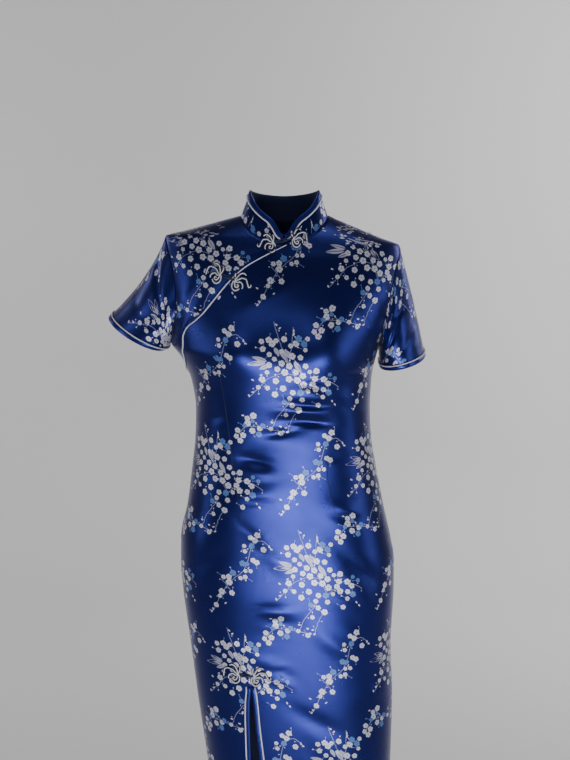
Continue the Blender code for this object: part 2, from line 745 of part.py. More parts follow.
def build_collar():
    points, heights = collar_grid()
    normals = grid_normals(points, False)
    middle = np.array([0.0, RIM_MIDDLE, 0.0])
    if np.sum(normals * (points - middle)) < 0:
        normals = -normals
    rows, columns = points.shape[:2]
    outer = points.reshape(-1, 3)
    inner = outer - WALL * normals.reshape(-1, 3)
    item = solid("collar", outer, inner, grid_faces(rows, columns), ("brocade", NAVY))
    slope = unit(np.gradient(points[-1], axis=0))
    down = unit(points[-2] - points[-1])
    inward = unit(down - slope * np.sum(down * slope, axis=1, keepdims=True))
    return item, (points[-1], points[-1] + inward * 0.01, normals[-1])


def strip(name, edge, near, far, closed, colour, lift=LIFT, thick=BINDING):
    """A flat band along an edge, from near to far across the panel."""
    line, inside, out = edge
    way = unit(inside - line)
    corners = [(near, lift), (far, lift), (far, lift + thick), (near, lift + thick)]
    rings = np.stack([line + way * across + out * up for across, up in corners], axis=1)
    return sweep(name, rings, closed, colour)


def cord(name, edge, across, closed, colour, lift=LIFT, radius=PIPING, sides=PIPING_SIDES):
    """A round cord along an edge, at a distance across the panel."""
    line, inside, out = edge
    way = unit(inside - line)
    rings = []
    for k in range(sides):
        angle = 2 * math.pi * (k + 0.5) / sides
        place = line + way * (across + radius * math.cos(angle))
        rings.append(place + out * (lift + radius + radius * math.sin(angle)))
    return sweep(name, np.stack(rings, axis=1), closed, colour)


def sweep(name, rings, closed, colour, link=True):
    """Joins rings of points into one closed body."""
    count, sides = rings.shape[:2]
    faces = []
    last = count if closed else count - 1
    for r in range(last):
        nxt = (r + 1) % count
        for k in range(sides):
            m = (k + 1) % sides
            faces.append((r * sides + k, r * sides + m, nxt * sides + m, nxt * sides + k))
    if not closed:
        faces.append(tuple(range(sides)))
        faces.append(tuple(count * sides - 1 - k for k in range(sides)))
    mesh = bpy.data.meshes.new(name)
    mesh.from_pydata([tuple(p) for p in rings.reshape(-1, 3)], [], faces)
    work = bmesh.new()
    work.from_mesh(mesh)
    bmesh.ops.recalc_face_normals(work, faces=work.faces)
    work.to_mesh(mesh)
    work.free()
    item = bpy.data.objects.new(name, mesh)
    if link:
        bpy.context.collection.objects.link(item)
        mesh.materials.append(material(*colour, 0.5))
        mesh.polygons.foreach_set("use_smooth", [True] * len(mesh.polygons))
    return item


def tree_of(items):
    """A search tree over the outsides of some solids."""
    work = bmesh.new()
    for item in items:
        work.from_mesh(item.data)
    tree = BVHTree.FromBMesh(work)
    work.free()
    return tree


def front_depth(tree, x, z, around):
    """How far forward the dress reaches near this place."""
    best = 1.0
    for dx, dz in FEELERS:
        start = Vector((x + dx * around, -0.4, z + dz * around))
        hit = tree.ray_cast(start, Vector((0, 1, 0)))[0]
        if hit is not None and hit.y < 0.05:
            best = min(best, hit.y)
    return best


def stroke_rings(tree, line, lift, width, height, around):
    """Four-sided rings along a line of places on the front."""
    points = []
    for x, z in line:
        points.append((x, front_depth(tree, x, z, around) - lift - height, z))
    points = np.array(points)
    along = unit(np.gradient(points, axis=0))
    flat = along * np.array([1.0, 0.0, 1.0])
    across = unit(np.stack([-flat[:, 2], np.zeros(len(flat)), flat[:, 0]], axis=1))
    up = unit(np.cross(along, across))
    corners = [(width, 0), (0, -height), (-width, 0), (0, height)]
    return np.stack([points + across * a + up * b for a, b in corners], axis=1)


def chart_line(stroke, gather, mirror, turn, size, count):
    """One scroll stroke placed on the dress."""
    line = even(stroke, count)
    cos = math.cos(math.radians(turn))
    sin = math.sin(math.radians(turn))
    places = []
    for a, b in line:
        a = a * mirror * size * 0.001
        b = b * size * 0.001
        places.append((gather[0] + a * cos - b * sin, gather[1] + a * sin + b * cos))
    return places


def build_scroll(name, tree, chart, gather, mirror, turn, size):
    """One half of a frog: its cords, joined where they gather."""
    front = front_depth(tree, *gather, HUB) - CORD_LIFT
    rings = []
    for depth, radius in ((0.0, HUB), (2.1 * CORD_HEIGHT, HUB), (2.9 * CORD_HEIGHT, HUB * 0.6)):
        angles = [2 * math.pi * (k + 0.4) / HUB_SIDES for k in range(HUB_SIDES)]
        spots = [(radius * math.cos(a), radius * math.sin(a)) for a in angles]
        rings.append([(gather[0] + dx, front - depth, gather[1] + dz) for dx, dz in spots])
    parts = [sweep(f"{name}_hub", np.array(rings), False, None, link=False)]
    for k, stroke in enumerate(chart):
        line = chart_line(stroke, gather, mirror, turn, size, CORD_STEPS)
        share = STROKE_START + STROKE_STAGGER * k
        line[0] = tuple(np.array(line[0]) * (1 - share) + np.array(line[1]) * share)
        height = CORD_HEIGHT * (1 + STROKE_STAGGER * k)
        rings = stroke_rings(tree, line, CORD_LIFT + STROKE_RISE * k, CORD_WIDTH, height, CORD_REACH)
        parts.append(sweep(f"{name}_{k}", rings, False, None, link=False))
    whole = parts[0]
    bpy.context.collection.objects.link(whole)
    whole.name = name
    whole.data.name = name
    for other in parts[1:]:
        bpy.context.collection.objects.link(other)
        join = whole.modifiers.new("join", "BOOLEAN")
        join.operation = "UNION"
        join.solver = "EXACT"
        join.object = other
        graph = bpy.context.evaluated_depsgraph_get()
        mesh = bpy.data.meshes.new_from_object(whole.evaluated_get(graph))
        whole.modifiers.clear()
        whole.data = mesh
        bpy.data.objects.remove(other)
    work = bmesh.new()
    work.from_mesh(whole.data)
    bmesh.ops.triangulate(work, faces=work.faces)
    bmesh.ops.recalc_face_normals(work, faces=work.faces)
    work.to_mesh(whole.data)
    work.free()
    whole.data.materials.clear()
    whole.data.materials.append(material("piping_white", WHITE, 0.5))
    return whole


def build_loop(name, tree, start, end):
    """The loop: a narrow ring of cord that lies across the opening."""
    way = np.array(end) - np.array(start)
    far = np.linalg.norm(way)
    way = way / far
    aside = np.array([-way[1], way[0]])
    finish = far * LOOP_END
    steps = np.linspace(LOOP_START, finish, 5)
    places = [(step, LOOP_HALF) for step in steps]
    places.append((finish + LOOP_HALF, 0.0))
    places += [(step, -LOOP_HALF) for step in steps[::-1]]
    places.append((LOOP_START - LOOP_HALF * 0.4, 0.0))
    spots = [np.array(start) + way * far * t for t in np.linspace(0, 1, 7)]
    depth = min(front_depth(tree, *spot, LOOP_HALF) for spot in spots)
    points = []
    for a, b in places:
        x, z = np.array(start) + way * a + aside * b
        points.append((x, depth - LOOP_LIFT - LOOP_CORD, z))
    points = np.array(points)
    along = unit(np.roll(points, -1, axis=0) - np.roll(points, 1, axis=0))
    up = np.array([0.0, -1.0, 0.0])
    across = unit(np.cross(along, up))
    corners = [(1, 0), (0, 1), (-1, 0), (0, -1)]
    rings = np.stack([points + LOOP_CORD * (across * a + up * b) for a, b in corners], axis=1)
    sweep(name, rings, True, ("binding", DEEP))
    return depth - LOOP_LIFT - 2 * LOOP_CORD


def build_knot(name, start, end, front):
    """The knot button on its stem, above the loop."""
    start = np.array(start)
    end = np.array(end)
    way = (end - start) / np.linalg.norm(end - start)
    far = np.linalg.norm(end - start)
    aside = np.array([-way[1], way[0]])
    rings = []
    for place, radius in KNOT_STEPS:
        x, z = start + way * far * place
        ring = []
        for k in range(KNOT_SIDES):
            angle = 2 * math.pi * k / KNOT_SIDES
            wide = radius * math.cos(angle)
            depth = front - KNOT_CLEAR - KNOT_FLAT * (KNOT + radius * math.sin(angle))
            ring.append((x + aside[0] * wide, depth, z + aside[1] * wide))
        rings.append(ring)
    sweep(name, np.array(rings), False, ("binding", DEEP))


def main():
    for item in list(bpy.data.objects):
        bpy.data.objects.remove(item)
    front, edges, overlap = build_front()
    under = build_under(overlap)
    build_back()
    for side, word in ((-1, "right"), (1, "left")):
        item, hem = build_sleeve(side, f"sleeve_{word}")
        strip(f"sleeve_binding_{word}", hem, 0.0, SLEEVE_BINDING_WIDTH, True, ("binding", DEEP))
        place = SLEEVE_BINDING_WIDTH + PIPING_GAP + PIPING
        cord(f"sleeve_piping_{word}", hem, place, True, ("piping_white", WHITE))
    collar, rim = build_collar()
    bound = strip("collar_binding", rim, 0.0, COLLAR_BINDING_WIDTH, False, ("binding", DEEP), COLLAR_LIFT)
    place = COLLAR_BINDING_WIDTH + PIPING_GAP + PIPING
    piped = cord("collar_piping", rim, place, False, ("piping_white", WHITE), COLLAR_LIFT)
    near = [front, under, collar, bound, piped]
    edge = edges["placket"]
    near.append(strip("placket_binding", edge, 0.0, PLACKET_BINDING_WIDTH, False, ("binding", DEEP)))
    place = PLACKET_BINDING_WIDTH + PIPING_GAP + PIPING
    near.append(cord("placket_piping", edge, place, False, ("piping_white", WHITE)))
    for half in ("left", "right"):
        edge = edges[f"slit_{half}"]
        name = f"slit_binding_{half}"
        near.append(strip(name, edge, SLIT_BINDING_START, SLIT_BINDING_WIDTH, False, ("binding", DEEP)))
        place = SLIT_BINDING_WIDTH + PIPING_GAP + PIPING
        near.append(cord(f"slit_piping_{half}", edge, place, False, ("piping_white", WHITE)))
    tree = tree_of(near)
    for name, start, end, turn, size, charts in FROGS:
        one = build_scroll(f"frog_{name}_loop_scroll", tree, charts[0], start, -1, turn, size)
        two = build_scroll(f"frog_{name}_knot_scroll", tree, charts[1], end, 1, turn, size)
        over = tree_of(near + [one, two])
        depth = build_loop(f"frog_{name}_loop", over, start, end)
        build_knot(f"frog_{name}_knot", start, end, depth)


main()
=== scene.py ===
import math
import random

import bpy
import bmesh
import numpy as np
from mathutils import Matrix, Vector
from mathutils.bvhtree import BVHTree


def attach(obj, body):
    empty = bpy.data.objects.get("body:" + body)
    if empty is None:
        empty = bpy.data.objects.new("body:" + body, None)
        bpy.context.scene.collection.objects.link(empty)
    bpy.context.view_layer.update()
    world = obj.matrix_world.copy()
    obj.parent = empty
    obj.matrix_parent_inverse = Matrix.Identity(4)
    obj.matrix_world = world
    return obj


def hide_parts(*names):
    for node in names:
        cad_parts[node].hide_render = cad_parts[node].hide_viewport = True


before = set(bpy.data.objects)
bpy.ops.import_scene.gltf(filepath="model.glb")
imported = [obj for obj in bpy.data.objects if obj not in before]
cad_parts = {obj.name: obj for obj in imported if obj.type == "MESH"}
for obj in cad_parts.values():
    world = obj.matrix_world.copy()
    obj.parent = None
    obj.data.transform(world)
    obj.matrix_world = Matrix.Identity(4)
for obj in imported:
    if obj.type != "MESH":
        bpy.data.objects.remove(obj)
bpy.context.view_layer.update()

# Metres throughout; the front of the dress faces -Y and its height runs along Z.
CLOTH = 0.0012
EDGE = 0.00018
SIDE = math.pi / 2
ROUNDNESS = 0.25
FINE = 5

# Body sections: height, left side, right side, middle of the side seams, front depth, back depth
BODY = [
    (0.000, -0.0730, 0.0716, 0.002, 0.018, 0.030),
    (-0.004, -0.0880, 0.0815, 0.001, 0.022, 0.040),
    (-0.012, -0.1180, 0.1010, 0.000, 0.031, 0.055),
    (-0.024, -0.1620, 0.1310, -0.001, 0.043, 0.066),
    (-0.034, -0.1990, 0.1560, -0.002, 0.050, 0.073),
    (-0.049, -0.2010, 0.1910, -0.002, 0.059, 0.082),
    (-0.070, -0.2020, 0.1960, -0.003, 0.071, 0.091),
    (-0.110, -0.2010, 0.1960, -0.003, 0.090, 0.102),
    (-0.160, -0.1980, 0.1830, -0.002, 0.107, 0.105),
    (-0.213, -0.1920, 0.1620, 0.000, 0.115, 0.100),
    (-0.232, -0.1790, 0.1550, 0.000, 0.116, 0.097),
    (-0.275, -0.1590, 0.1470, 0.000, 0.112, 0.090),
    (-0.325, -0.1520, 0.1450, -0.002, 0.103, 0.083),
    (-0.365, -0.1530, 0.1465, -0.003, 0.096, 0.080),
    (-0.429, -0.1600, 0.1570, -0.001, 0.092, 0.086),
    (-0.493, -0.1690, 0.1700, 0.002, 0.094, 0.096),
    (-0.550, -0.1810, 0.1830, 0.004, 0.096, 0.104),
    (-0.598, -0.1820, 0.1910, 0.005, 0.097, 0.108),
    (-0.647, -0.1790, 0.1910, 0.005, 0.097, 0.107),
    (-0.745, -0.1670, 0.1870, 0.004, 0.096, 0.100),
    (-0.846, -0.1550, 0.1910, 0.002, 0.095, 0.096),
    (-0.973, -0.1380, 0.1890, 0.000, 0.094, 0.094),
    (-1.110, -0.1270, 0.1840, 0.000, 0.093, 0.093),
    (-1.250, -0.1190, 0.1790, 0.000, 0.092, 0.092),
]

# Centre line: height, sideways drift
CENTRE = [
    (0.000, -0.0007),
    (-0.050, -0.0030),
    (-0.300, -0.0035),
    (-0.450, -0.0010),
    (-0.600, 0.0040),
    (-0.750, 0.0100),
    (-0.850, 0.0170),
    (-0.973, 0.0255),
    (-1.250, 0.0300),
]

# Darted bust shaping: sideways distance, height, depth, width, drop
BUST = (0.078, -0.212, 0.013, 0.044, 0.048)

# Broad hollows and swells: sideways place, height, depth, width, drop, tilt
FOLDS = [
    (0.040, -0.285, 0.0030, 0.040, 0.018, -0.05),
    (0.030, -0.335, -0.0036, 0.045, 0.020, 0.06),
    (0.120, -0.270, -0.0030, 0.030, 0.018, -0.15),
    (-0.060, -0.400, -0.0030, 0.040, 0.022, 0.25),
    (-0.050, -0.462, 0.0032, 0.045, 0.022, 0.30),
    (0.105, -0.500, 0.0034, 0.035, 0.024, -0.35),
    (-0.020, -0.660, 0.0030, 0.050, 0.024, 0.10),
    (0.120, -0.640, 0.0034, 0.045, 0.026, -0.45),
]
BACK_FOLDS = [
    (-0.050, -0.330, -0.0044, 0.060, 0.018, 0.08),
    (0.045, -0.360, -0.0040, 0.060, 0.018, -0.06),
    (-0.010, -0.400, 0.0036, 0.070, 0.020, 0.02),
    (0.070, -0.660, -0.0036, 0.060, 0.026, 0.30),
    (-0.080, -0.700, -0.0036, 0.060, 0.026, -0.30),
]

# Creases of the front: sideways place, height, depth (a ridge is above 0), half length, half width,
# lean in degrees
CREASES = [
    (0.054, -0.273, -0.0024, 0.020, 0.0050, -20),
    (0.042, -0.301, -0.0030, 0.034, 0.0055, -4),
    (0.034, -0.331, -0.0034, 0.038, 0.0060, -6),
    (0.030, -0.315, 0.0022, 0.040, 0.0060, -5),
    (-0.010, -0.350, -0.0018, 0.030, 0.0060, 8),
    (0.120, -0.256, -0.0026, 0.024, 0.0055, -10),
    (0.132, -0.285, -0.0022, 0.020, 0.0060, -18),
    (0.128, -0.318, -0.0018, 0.022, 0.0060, -14),
    (0.084, -0.394, -0.0018, 0.015, 0.0050, 2),
    (-0.050, -0.398, -0.0026, 0.026, 0.0060, -14),
    (-0.054, -0.418, 0.0020, 0.028, 0.0070, -12),
    (-0.053, -0.470, -0.0020, 0.024, 0.0060, 2),
    (0.104, -0.498, -0.0030, 0.022, 0.0060, -16),
    (0.110, -0.484, 0.0022, 0.024, 0.0060, -16),
    (-0.053, -0.533, -0.0026, 0.036, 0.0090, -45),
    (-0.030, -0.560, 0.0018, 0.040, 0.0110, -42),
    (-0.017, -0.659, 0.0020, 0.026, 0.0060, -6),
    (-0.015, -0.674, -0.0016, 0.026, 0.0060, -4),
    (-0.100, -0.713, 0.0020, 0.022, 0.0060, -28),
    (-0.028, -0.752, 0.0018, 0.026, 0.0070, -15),
    (-0.010, -0.778, 0.0018, 0.020, 0.0060, -25),
    (-0.020, -0.765, -0.0016, 0.026, 0.0060, -18),
    (0.128, -0.590, -0.0024, 0.044, 0.0110, -40),
    (0.110, -0.640, -0.0026, 0.050, 0.0120, -42),
    (0.130, -0.690, -0.0022, 0.044, 0.0110, -38),
    (0.090, -0.720, 0.0020, 0.040, 0.0120, -35),
    (0.160, -0.815, 0.0026, 0.020, 0.0110, -20),
    (-0.120, -0.330, -0.0020, 0.022, 0.0060, 18),
    (-0.126, -0.372, -0.0018, 0.022, 0.0070, 12),
    (-0.130, -0.580, -0.0018, 0.030, 0.0110, 35),
    (0.060, -0.860, -0.0018, 0.050, 0.0120, -30),
    (0.090, -0.960, -0.0020, 0.060, 0.0140, -48),
    (-0.100, -0.900, -0.0016, 0.040, 0.0120, 50),
    (0.080, -1.090, -0.0018, 0.060, 0.0150, -60),
    (-0.150, -0.120, -0.0016, 0.030, 0.0080, 62),
    (0.150, -0.120, -0.0018, 0.034, 0.0080, -60),
    (0.130, -0.170, -0.0016, 0.026, 0.0080, -50),
    (-0.020, -0.120, 0.0012, 0.050, 0.0140, 30),
]
BACK_CREASES = [
    (-0.060, -0.322, -0.0030, 0.044, 0.0065, 10),
    (0.050, -0.338, -0.0032, 0.050, 0.0065, -8),
    (-0.020, -0.362, -0.0028, 0.055, 0.0070, 3),
    (0.060, -0.384, -0.0024, 0.040, 0.0070, -14),
    (-0.080, -0.396, -0.0026, 0.036, 0.0070, 16),
    (0.010, -0.350, 0.0022, 0.060, 0.0080, -2),
    (0.120, -0.300, -0.0020, 0.028, 0.0070, -30),
    (-0.125, -0.296, -0.0020, 0.028, 0.0070, 32),
    (-0.130, -0.130, -0.0018, 0.036, 0.0090, 64),
    (0.125, -0.135, -0.0018, 0.036, 0.0090, -62),
    (0.080, -0.640, -0.0022, 0.050, 0.0120, 38),
    (-0.070, -0.680, -0.0022, 0.050, 0.0120, -36),
    (0.020, -0.760, -0.0018, 0.050, 0.0120, 12),
    (-0.090, -0.860, -0.0018, 0.050, 0.0130, -50),
    (0.110, -0.930, -0.0018, 0.060, 0.0130, 52),
    (0.010, -1.060, -0.0016, 0.060, 0.0150, 70),
]

WORN = 1.35

NECK_WIDTH = 0.0722
NECK_FRONT_DROP = 0.047
NECK_BACK_DROP = 0.012
NECK_SWEEP = 1.5

# Armholes by side: shoulder tip height, armpit height, scoop at the front, scoop at the back
ARMHOLE = {-1: (-0.034, -0.213, 0.47, 0.40), 1: (-0.049, -0.219, 0.47, 0.40)}
ARMHOLE_STEPS = 16

UNROLL = 0.14
EASE = 0.8
EASE_STEPS = 400
HEM = -1.25
JOIN = -0.262
SLIT_TOP = -0.794
ROWS = [
    HEM, -1.165, -1.080, -1.000, -0.930, -0.870, -0.825, SLIT_TOP, -0.750, -0.700, -0.655, -0.610,
    -0.565, -0.525, -0.490, -0.455, -0.425, -0.395, -0.365, -0.340, -0.315, -0.289, JOIN,
]

# Slanting front edge: sideways, height
PLACKET = [
    (-0.1640, JOIN),
    (-0.1655, -0.249),
    (-0.1690, -0.225),
    (-0.1695, -0.203),
    (-0.1680, -0.187),
    (-0.1600, -0.175),
    (-0.1420, -0.160),
    (-0.1180, -0.131),
    (-0.0930, -0.101),
    (-0.0690, -0.080),
    (-0.0360, -0.062),
    (-0.0030, -0.047),
]

# Walking slit: height, sideways place, width of the gap
SLIT = [
    (SLIT_TOP, -0.0585, 0.0000),
    (-0.810, -0.0577, 0.0046),
    (-0.870, -0.0550, 0.0105),
    (-0.921, -0.0513, 0.0150),
    (-0.973, -0.0480, 0.0185),
    (-1.250, -0.0340, 0.0400),
]
COLUMNS_LEFT_OF_SLIT = 9
COLUMNS_RIGHT_OF_SLIT = 16
NECK_COLUMNS = 12
BACK_NECK_COLUMNS = 12
BACK_SHOULDER_COLUMNS = 5
UPPER_STEPS = ARMHOLE_STEPS + 1

# Sleeves by side: outer and inner point of the hem, middle of the hem to its front, bulge at the top
SLEEVE = {
    -1: ((-0.298, 0.000, -0.174), (-0.2035, 0.000, -0.220), (0.0085, -0.0465, -0.0140), -0.011),
    1: ((0.238, 0.000, -0.235), (0.1610, 0.000, -0.254), (-0.003, -0.0560, -0.0060), 0.001),
}
SLEEVE_FULLNESS = 0.006

# Sleeve creases by side: angle round the arm in degrees, share of the length, depth, half angle,
# half share, slant
SLEEVE_CREASES = {
    -1: [
        (60, 0.30, -0.0030, 40, 0.055, 0.0030),
        (95, 0.55, -0.0026, 36, 0.060, -0.0040),
        (130, 0.70, -0.0024, 26, 0.070, -0.0030),
        (30, 0.62, -0.0018, 26, 0.070, 0.0020),
        (250, 0.45, -0.0026, 40, 0.060, 0.0030),
        (300, 0.65, -0.0018, 34, 0.070, -0.0020),
    ],
    1: [
        (70, 0.35, -0.0028, 36, 0.050, -0.0030),
        (110, 0.52, -0.0030, 30, 0.055, 0.0040),
        (60, 0.70, -0.0020, 34, 0.055, 0.0024),
        (255, 0.40, -0.0026, 40, 0.060, -0.0030),
        (290, 0.66, -0.0020, 34, 0.070, 0.0020),
    ],
}

# Stand collar: turn from the centre front in degrees, height along the collar
COLLAR = [
    (0, 0.0180),
    (4, 0.0210),
    (8, 0.0275),
    (12, 0.0335),
    (17, 0.0390),
    (25, 0.0430),
    (45, 0.0445),
    (90, 0.0445),
    (180, 0.0430),
]
COLLAR_START = 0.5
COLLAR_COLUMNS = 180
COLLAR_ROWS = 16
COLLAR_RISE = -0.0009
RIM_WIDTH = 0.0565
RIM_DEPTH = 0.047
RIM_MIDDLE = 0.004
RIM_SIDE = 0.0415
RIM_FRONT = -0.006

PIPING = 0.00115
COLLAR_BINDING = 0.0080
SLEEVE_BINDING = 0.0072
PLACKET_BINDING = 0.0036
SLIT_BINDING = 0.0060


class Track:
    """A smooth value through a table, which never overshoots its rows."""

    def __init__(self, rows, column):
        order = sorted(rows)
        self.at = np.array([row[0] for row in order], dtype=float)
        self.value = np.array([row[column] for row in order], dtype=float)
        step = np.diff(self.at)
        rise = np.diff(self.value) / step
        slope = np.zeros(len(self.at))
        slope[0] = rise[0]
        slope[-1] = rise[-1]
        for i in range(1, len(rise)):
            if rise[i - 1] * rise[i] > 0:
                first = 2 * step[i] + step[i - 1]
                second = step[i] + 2 * step[i - 1]
                slope[i] = (first + second) / (first / rise[i - 1] + second / rise[i])
        self.slope = slope

    def __call__(self, where):
        x = np.clip(where, self.at[0], self.at[-1])
        i = np.clip(np.searchsorted(self.at, x) - 1, 0, len(self.at) - 2)
        step = self.at[i + 1] - self.at[i]
        t = (x - self.at[i]) / step
        keep = self.value[i] * (1 + 2 * t) * (1 - t) ** 2 + self.value[i + 1] * t * t * (3 - 2 * t)
        lean = self.slope[i] * t * (1 - t) ** 2 - self.slope[i + 1] * t * t * (1 - t)
        return keep + step * lean


LEFT = Track(BODY, 1)
RIGHT = Track(BODY, 2)
MIDDLE = Track(BODY, 3)
FRONT = Track(BODY, 4)
BACK = Track(BODY, 5)
DRIFT = Track(CENTRE, 1)
SLIT_PLACE = Track(SLIT, 1)
SLIT_GAP = Track(SLIT, 2)
COLLAR_HEIGHT = Track(COLLAR, 1)


def unit(vectors):
    return vectors / np.maximum(np.linalg.norm(vectors, axis=-1, keepdims=True), 1e-12)


def swells(x, z, rows):
    """Depth added by the broad folds."""
    total = np.zeros(np.broadcast(x, z).shape)
    for place, height, depth, width, drop, tilt in rows:
        across = (x - place) / width
        down = (z - height - tilt * (x - place)) / drop
        total = total + depth * np.exp(-across * across - down * down)
    return total


def creases(x, z, rows):
    """Depth added by the soft troughs and ridges, each a little bowed."""
    total = np.zeros(np.broadcast(x, z).shape)
    for n, (place, height, depth, long, wide, lean) in enumerate(rows):
        cos = math.cos(math.radians(lean))
        sin = math.sin(math.radians(lean))
        along = ((x - place) * cos + (z - height) * sin) / long
        bow = 0.35 * wide * math.sin(2.1 * n) * (along * along - 0.5)
        across = ((z - height) * cos - (x - place) * sin - bow) / wide
        skew = 1 - 0.35 * across * math.cos(n)
        total = total + depth * np.exp(-(along**2)) * skew * np.exp(-across * across)
    return total


def form(turn, z, worn=1.0):
    """The body surface at a turn about the centre line and a height; worn scales its creases."""
    turn = np.asarray(turn, dtype=float)
    z = np.asarray(z, dtype=float)
    side = np.sin(turn)
    ahead = np.cos(turn)
    middle = DRIFT(z)
    reach = np.where(side > 0, RIGHT(z) - middle, middle - LEFT(z))
    depth = np.where(ahead > 0, FRONT(z), BACK(z))
    x = middle + reach * side
    y = MIDDLE(z) - depth * ahead * (1 + ROUNDNESS * side * side)
    place, height, lift, width, drop = BUST
    down = np.exp(-(((z - height) / drop) ** 2))
    cups = np.exp(-(((x - middle - place) / width) ** 2)) + np.exp(-(((x - middle + place) / width) ** 2))
    facing = np.clip(ahead, 0, 1)
    behind = np.clip(-ahead, 0, 1)
    y = y - facing * (lift * down * cups + swells(x, z, FOLDS)) + behind * swells(x, z, BACK_FOLDS)
    if worn:
        y = y - facing * WORN * creases(x, z, CREASES) + behind * WORN * creases(x, z, BACK_CREASES)
    return np.stack(np.broadcast_arrays(x, y, z), axis=-1)


def facing_out(turn, z, step=1e-4):
    """The outward direction of the body surface."""
    across = form(turn + step, z) - form(turn - step, z)
    up = form(turn, z + step) - form(turn, z - step)
    return unit(np.cross(across, up))


def turn_at(x, z):
    """The turn at which the front of the body has this sideways place."""
    middle = DRIFT(z)
    reach = np.where(x > middle, RIGHT(z) - middle, middle - LEFT(z))
    return np.arcsin(np.clip((x - middle) / reach, -1, 1))


def neckline(angle):
    """Turn and height of the neckline, by angle from the centre front."""
    ahead = math.cos(angle)
    side = math.sin(angle)
    drop = NECK_FRONT_DROP if ahead > 0 else NECK_BACK_DROP
    z = -drop * abs(ahead) ** NECK_SWEEP
    x = float(DRIFT(z)) + NECK_WIDTH * side
    turn = float(turn_at(x, z))
    if abs(ahead) < 1e-6:
        turn = math.copysign(SIDE, side)
    if ahead < 0:
        turn = math.pi - turn
    return turn, z


def armhole(side, along, back):
    """Turn and height on the armhole: along is 0 at the armpit and 1 at the shoulder tip."""
    tip, pit, scoop_front, scoop_back = ARMHOLE[side]
    z = 0.5 * (tip + pit) - 0.5 * (tip - pit) * math.cos(math.pi * along)
    inward = math.sin(math.pi * along)
    if back:
        return side * SIDE + side * scoop_back * inward, z
    return side * SIDE - side * scoop_front * inward, z


def even(points, count):
    """Resamples a line of points to this many even steps."""
    points = np.array(points, dtype=float)
    far = np.concatenate([[0], np.cumsum(np.linalg.norm(np.diff(points, axis=0), axis=1))])
    tracks = [Track(list(zip(far, points[:, k])), 1) for k in range(points.shape[1])]
    places = np.linspace(0, far[-1], count + 1)
    return np.stack([track(places) for track in tracks], axis=1)


def shares(edge):
    """How far along an edge each of its points lies, from 0 to 1."""
    points = form(edge[:, 0], edge[:, 1], 0)
    far = np.concatenate([[0], np.cumsum(np.linalg.norm(np.diff(points, axis=0), axis=1))])
    return far / far[-1]


def patch(bottom, top, left, right):
    """A grid of turns and heights between four edges, evened out by a fixed number of smoothing steps."""
    row = np.linspace(0, 1, len(left))[:, None]
    column = np.linspace(0, 1, len(bottom))[None, :]
    u = ((1 - row) * shares(bottom)[None, :] + row * shares(top)[None, :])[..., None]
    v = ((1 - column) * shares(left)[:, None] + column * shares(right)[:, None])[..., None]
    sides = (1 - u) * left[:, None, :] + u * right[:, None, :]
    ends = (1 - v) * bottom[None, :, :] + v * top[None, :, :]
    corners = (1 - u) * (1 - v) * bottom[0] + u * (1 - v) * bottom[-1]
    corners = corners + (1 - u) * v * top[0] + u * v * top[-1]
    grid = (sides + ends - corners) * np.array([UNROLL, 1.0])
    for _ in range(EASE_STEPS):
        along = (grid[1:-1, 2:] - grid[1:-1, :-2]) / 2
        up = (grid[2:, 1:-1] - grid[:-2, 1:-1]) / 2
        a = np.sum(up * up, axis=-1, keepdims=True)
        b = np.sum(along * up, axis=-1, keepdims=True)
        c = np.sum(along * along, axis=-1, keepdims=True)
        cross = (grid[2:, 2:] - grid[2:, :-2] - grid[:-2, 2:] + grid[:-2, :-2]) / 4
        total = a * (grid[1:-1, 2:] + grid[1:-1, :-2]) - 2 * b * cross
        total = total + c * (grid[2:, 1:-1] + grid[:-2, 1:-1])
        grid[1:-1, 1:-1] += EASE * (total / np.maximum(2 * (a + c), 1e-12) - grid[1:-1, 1:-1])
    return grid / np.array([UNROLL, 1.0])


def finer(grid, by=FINE):
    """The same grid with smooth extra rows and columns."""
    for axis in (0, 1):
        grid = np.moveaxis(grid, axis, 0)
        at = np.arange(len(grid))
        where = np.linspace(0, len(grid) - 1, (len(grid) - 1) * by + 1)
        flat = grid.reshape(len(grid), -1)
        flat = np.stack([Track(list(zip(at, line)), 1)(where) for line in flat.T], axis=1)
        grid = np.moveaxis(flat.reshape((len(where),) + grid.shape[1:]), 0, axis)
    return grid


def pulled(points, closed=False, edge=EDGE):
    """Moves the edge points of a grid a little inwards, so that seams stay open."""
    moved = points.copy()
    for end, near in ((0, 1), (-1, -2)):
        moved[end] = points[end] + unit(points[near] - points[end]) * edge
    if not closed:
        for end, near in ((0, 1), (-1, -2)):
            moved[:, end] = moved[:, end] + unit(points[:, near] - points[:, end]) * edge
    return moved


def grid_normals(points, closed):
    """Outward directions of a grid of rows and columns."""
    down = np.gradient(points, axis=0)
    if closed:
        across = np.roll(points, -1, axis=1) - np.roll(points, 1, axis=1)
    else:
        across = np.gradient(points, axis=1)
    normals = unit(np.cross(across, down))
    middle = points.mean(axis=1, keepdims=True)
    return -normals if np.sum(normals * (points - middle)) < 0 else normals


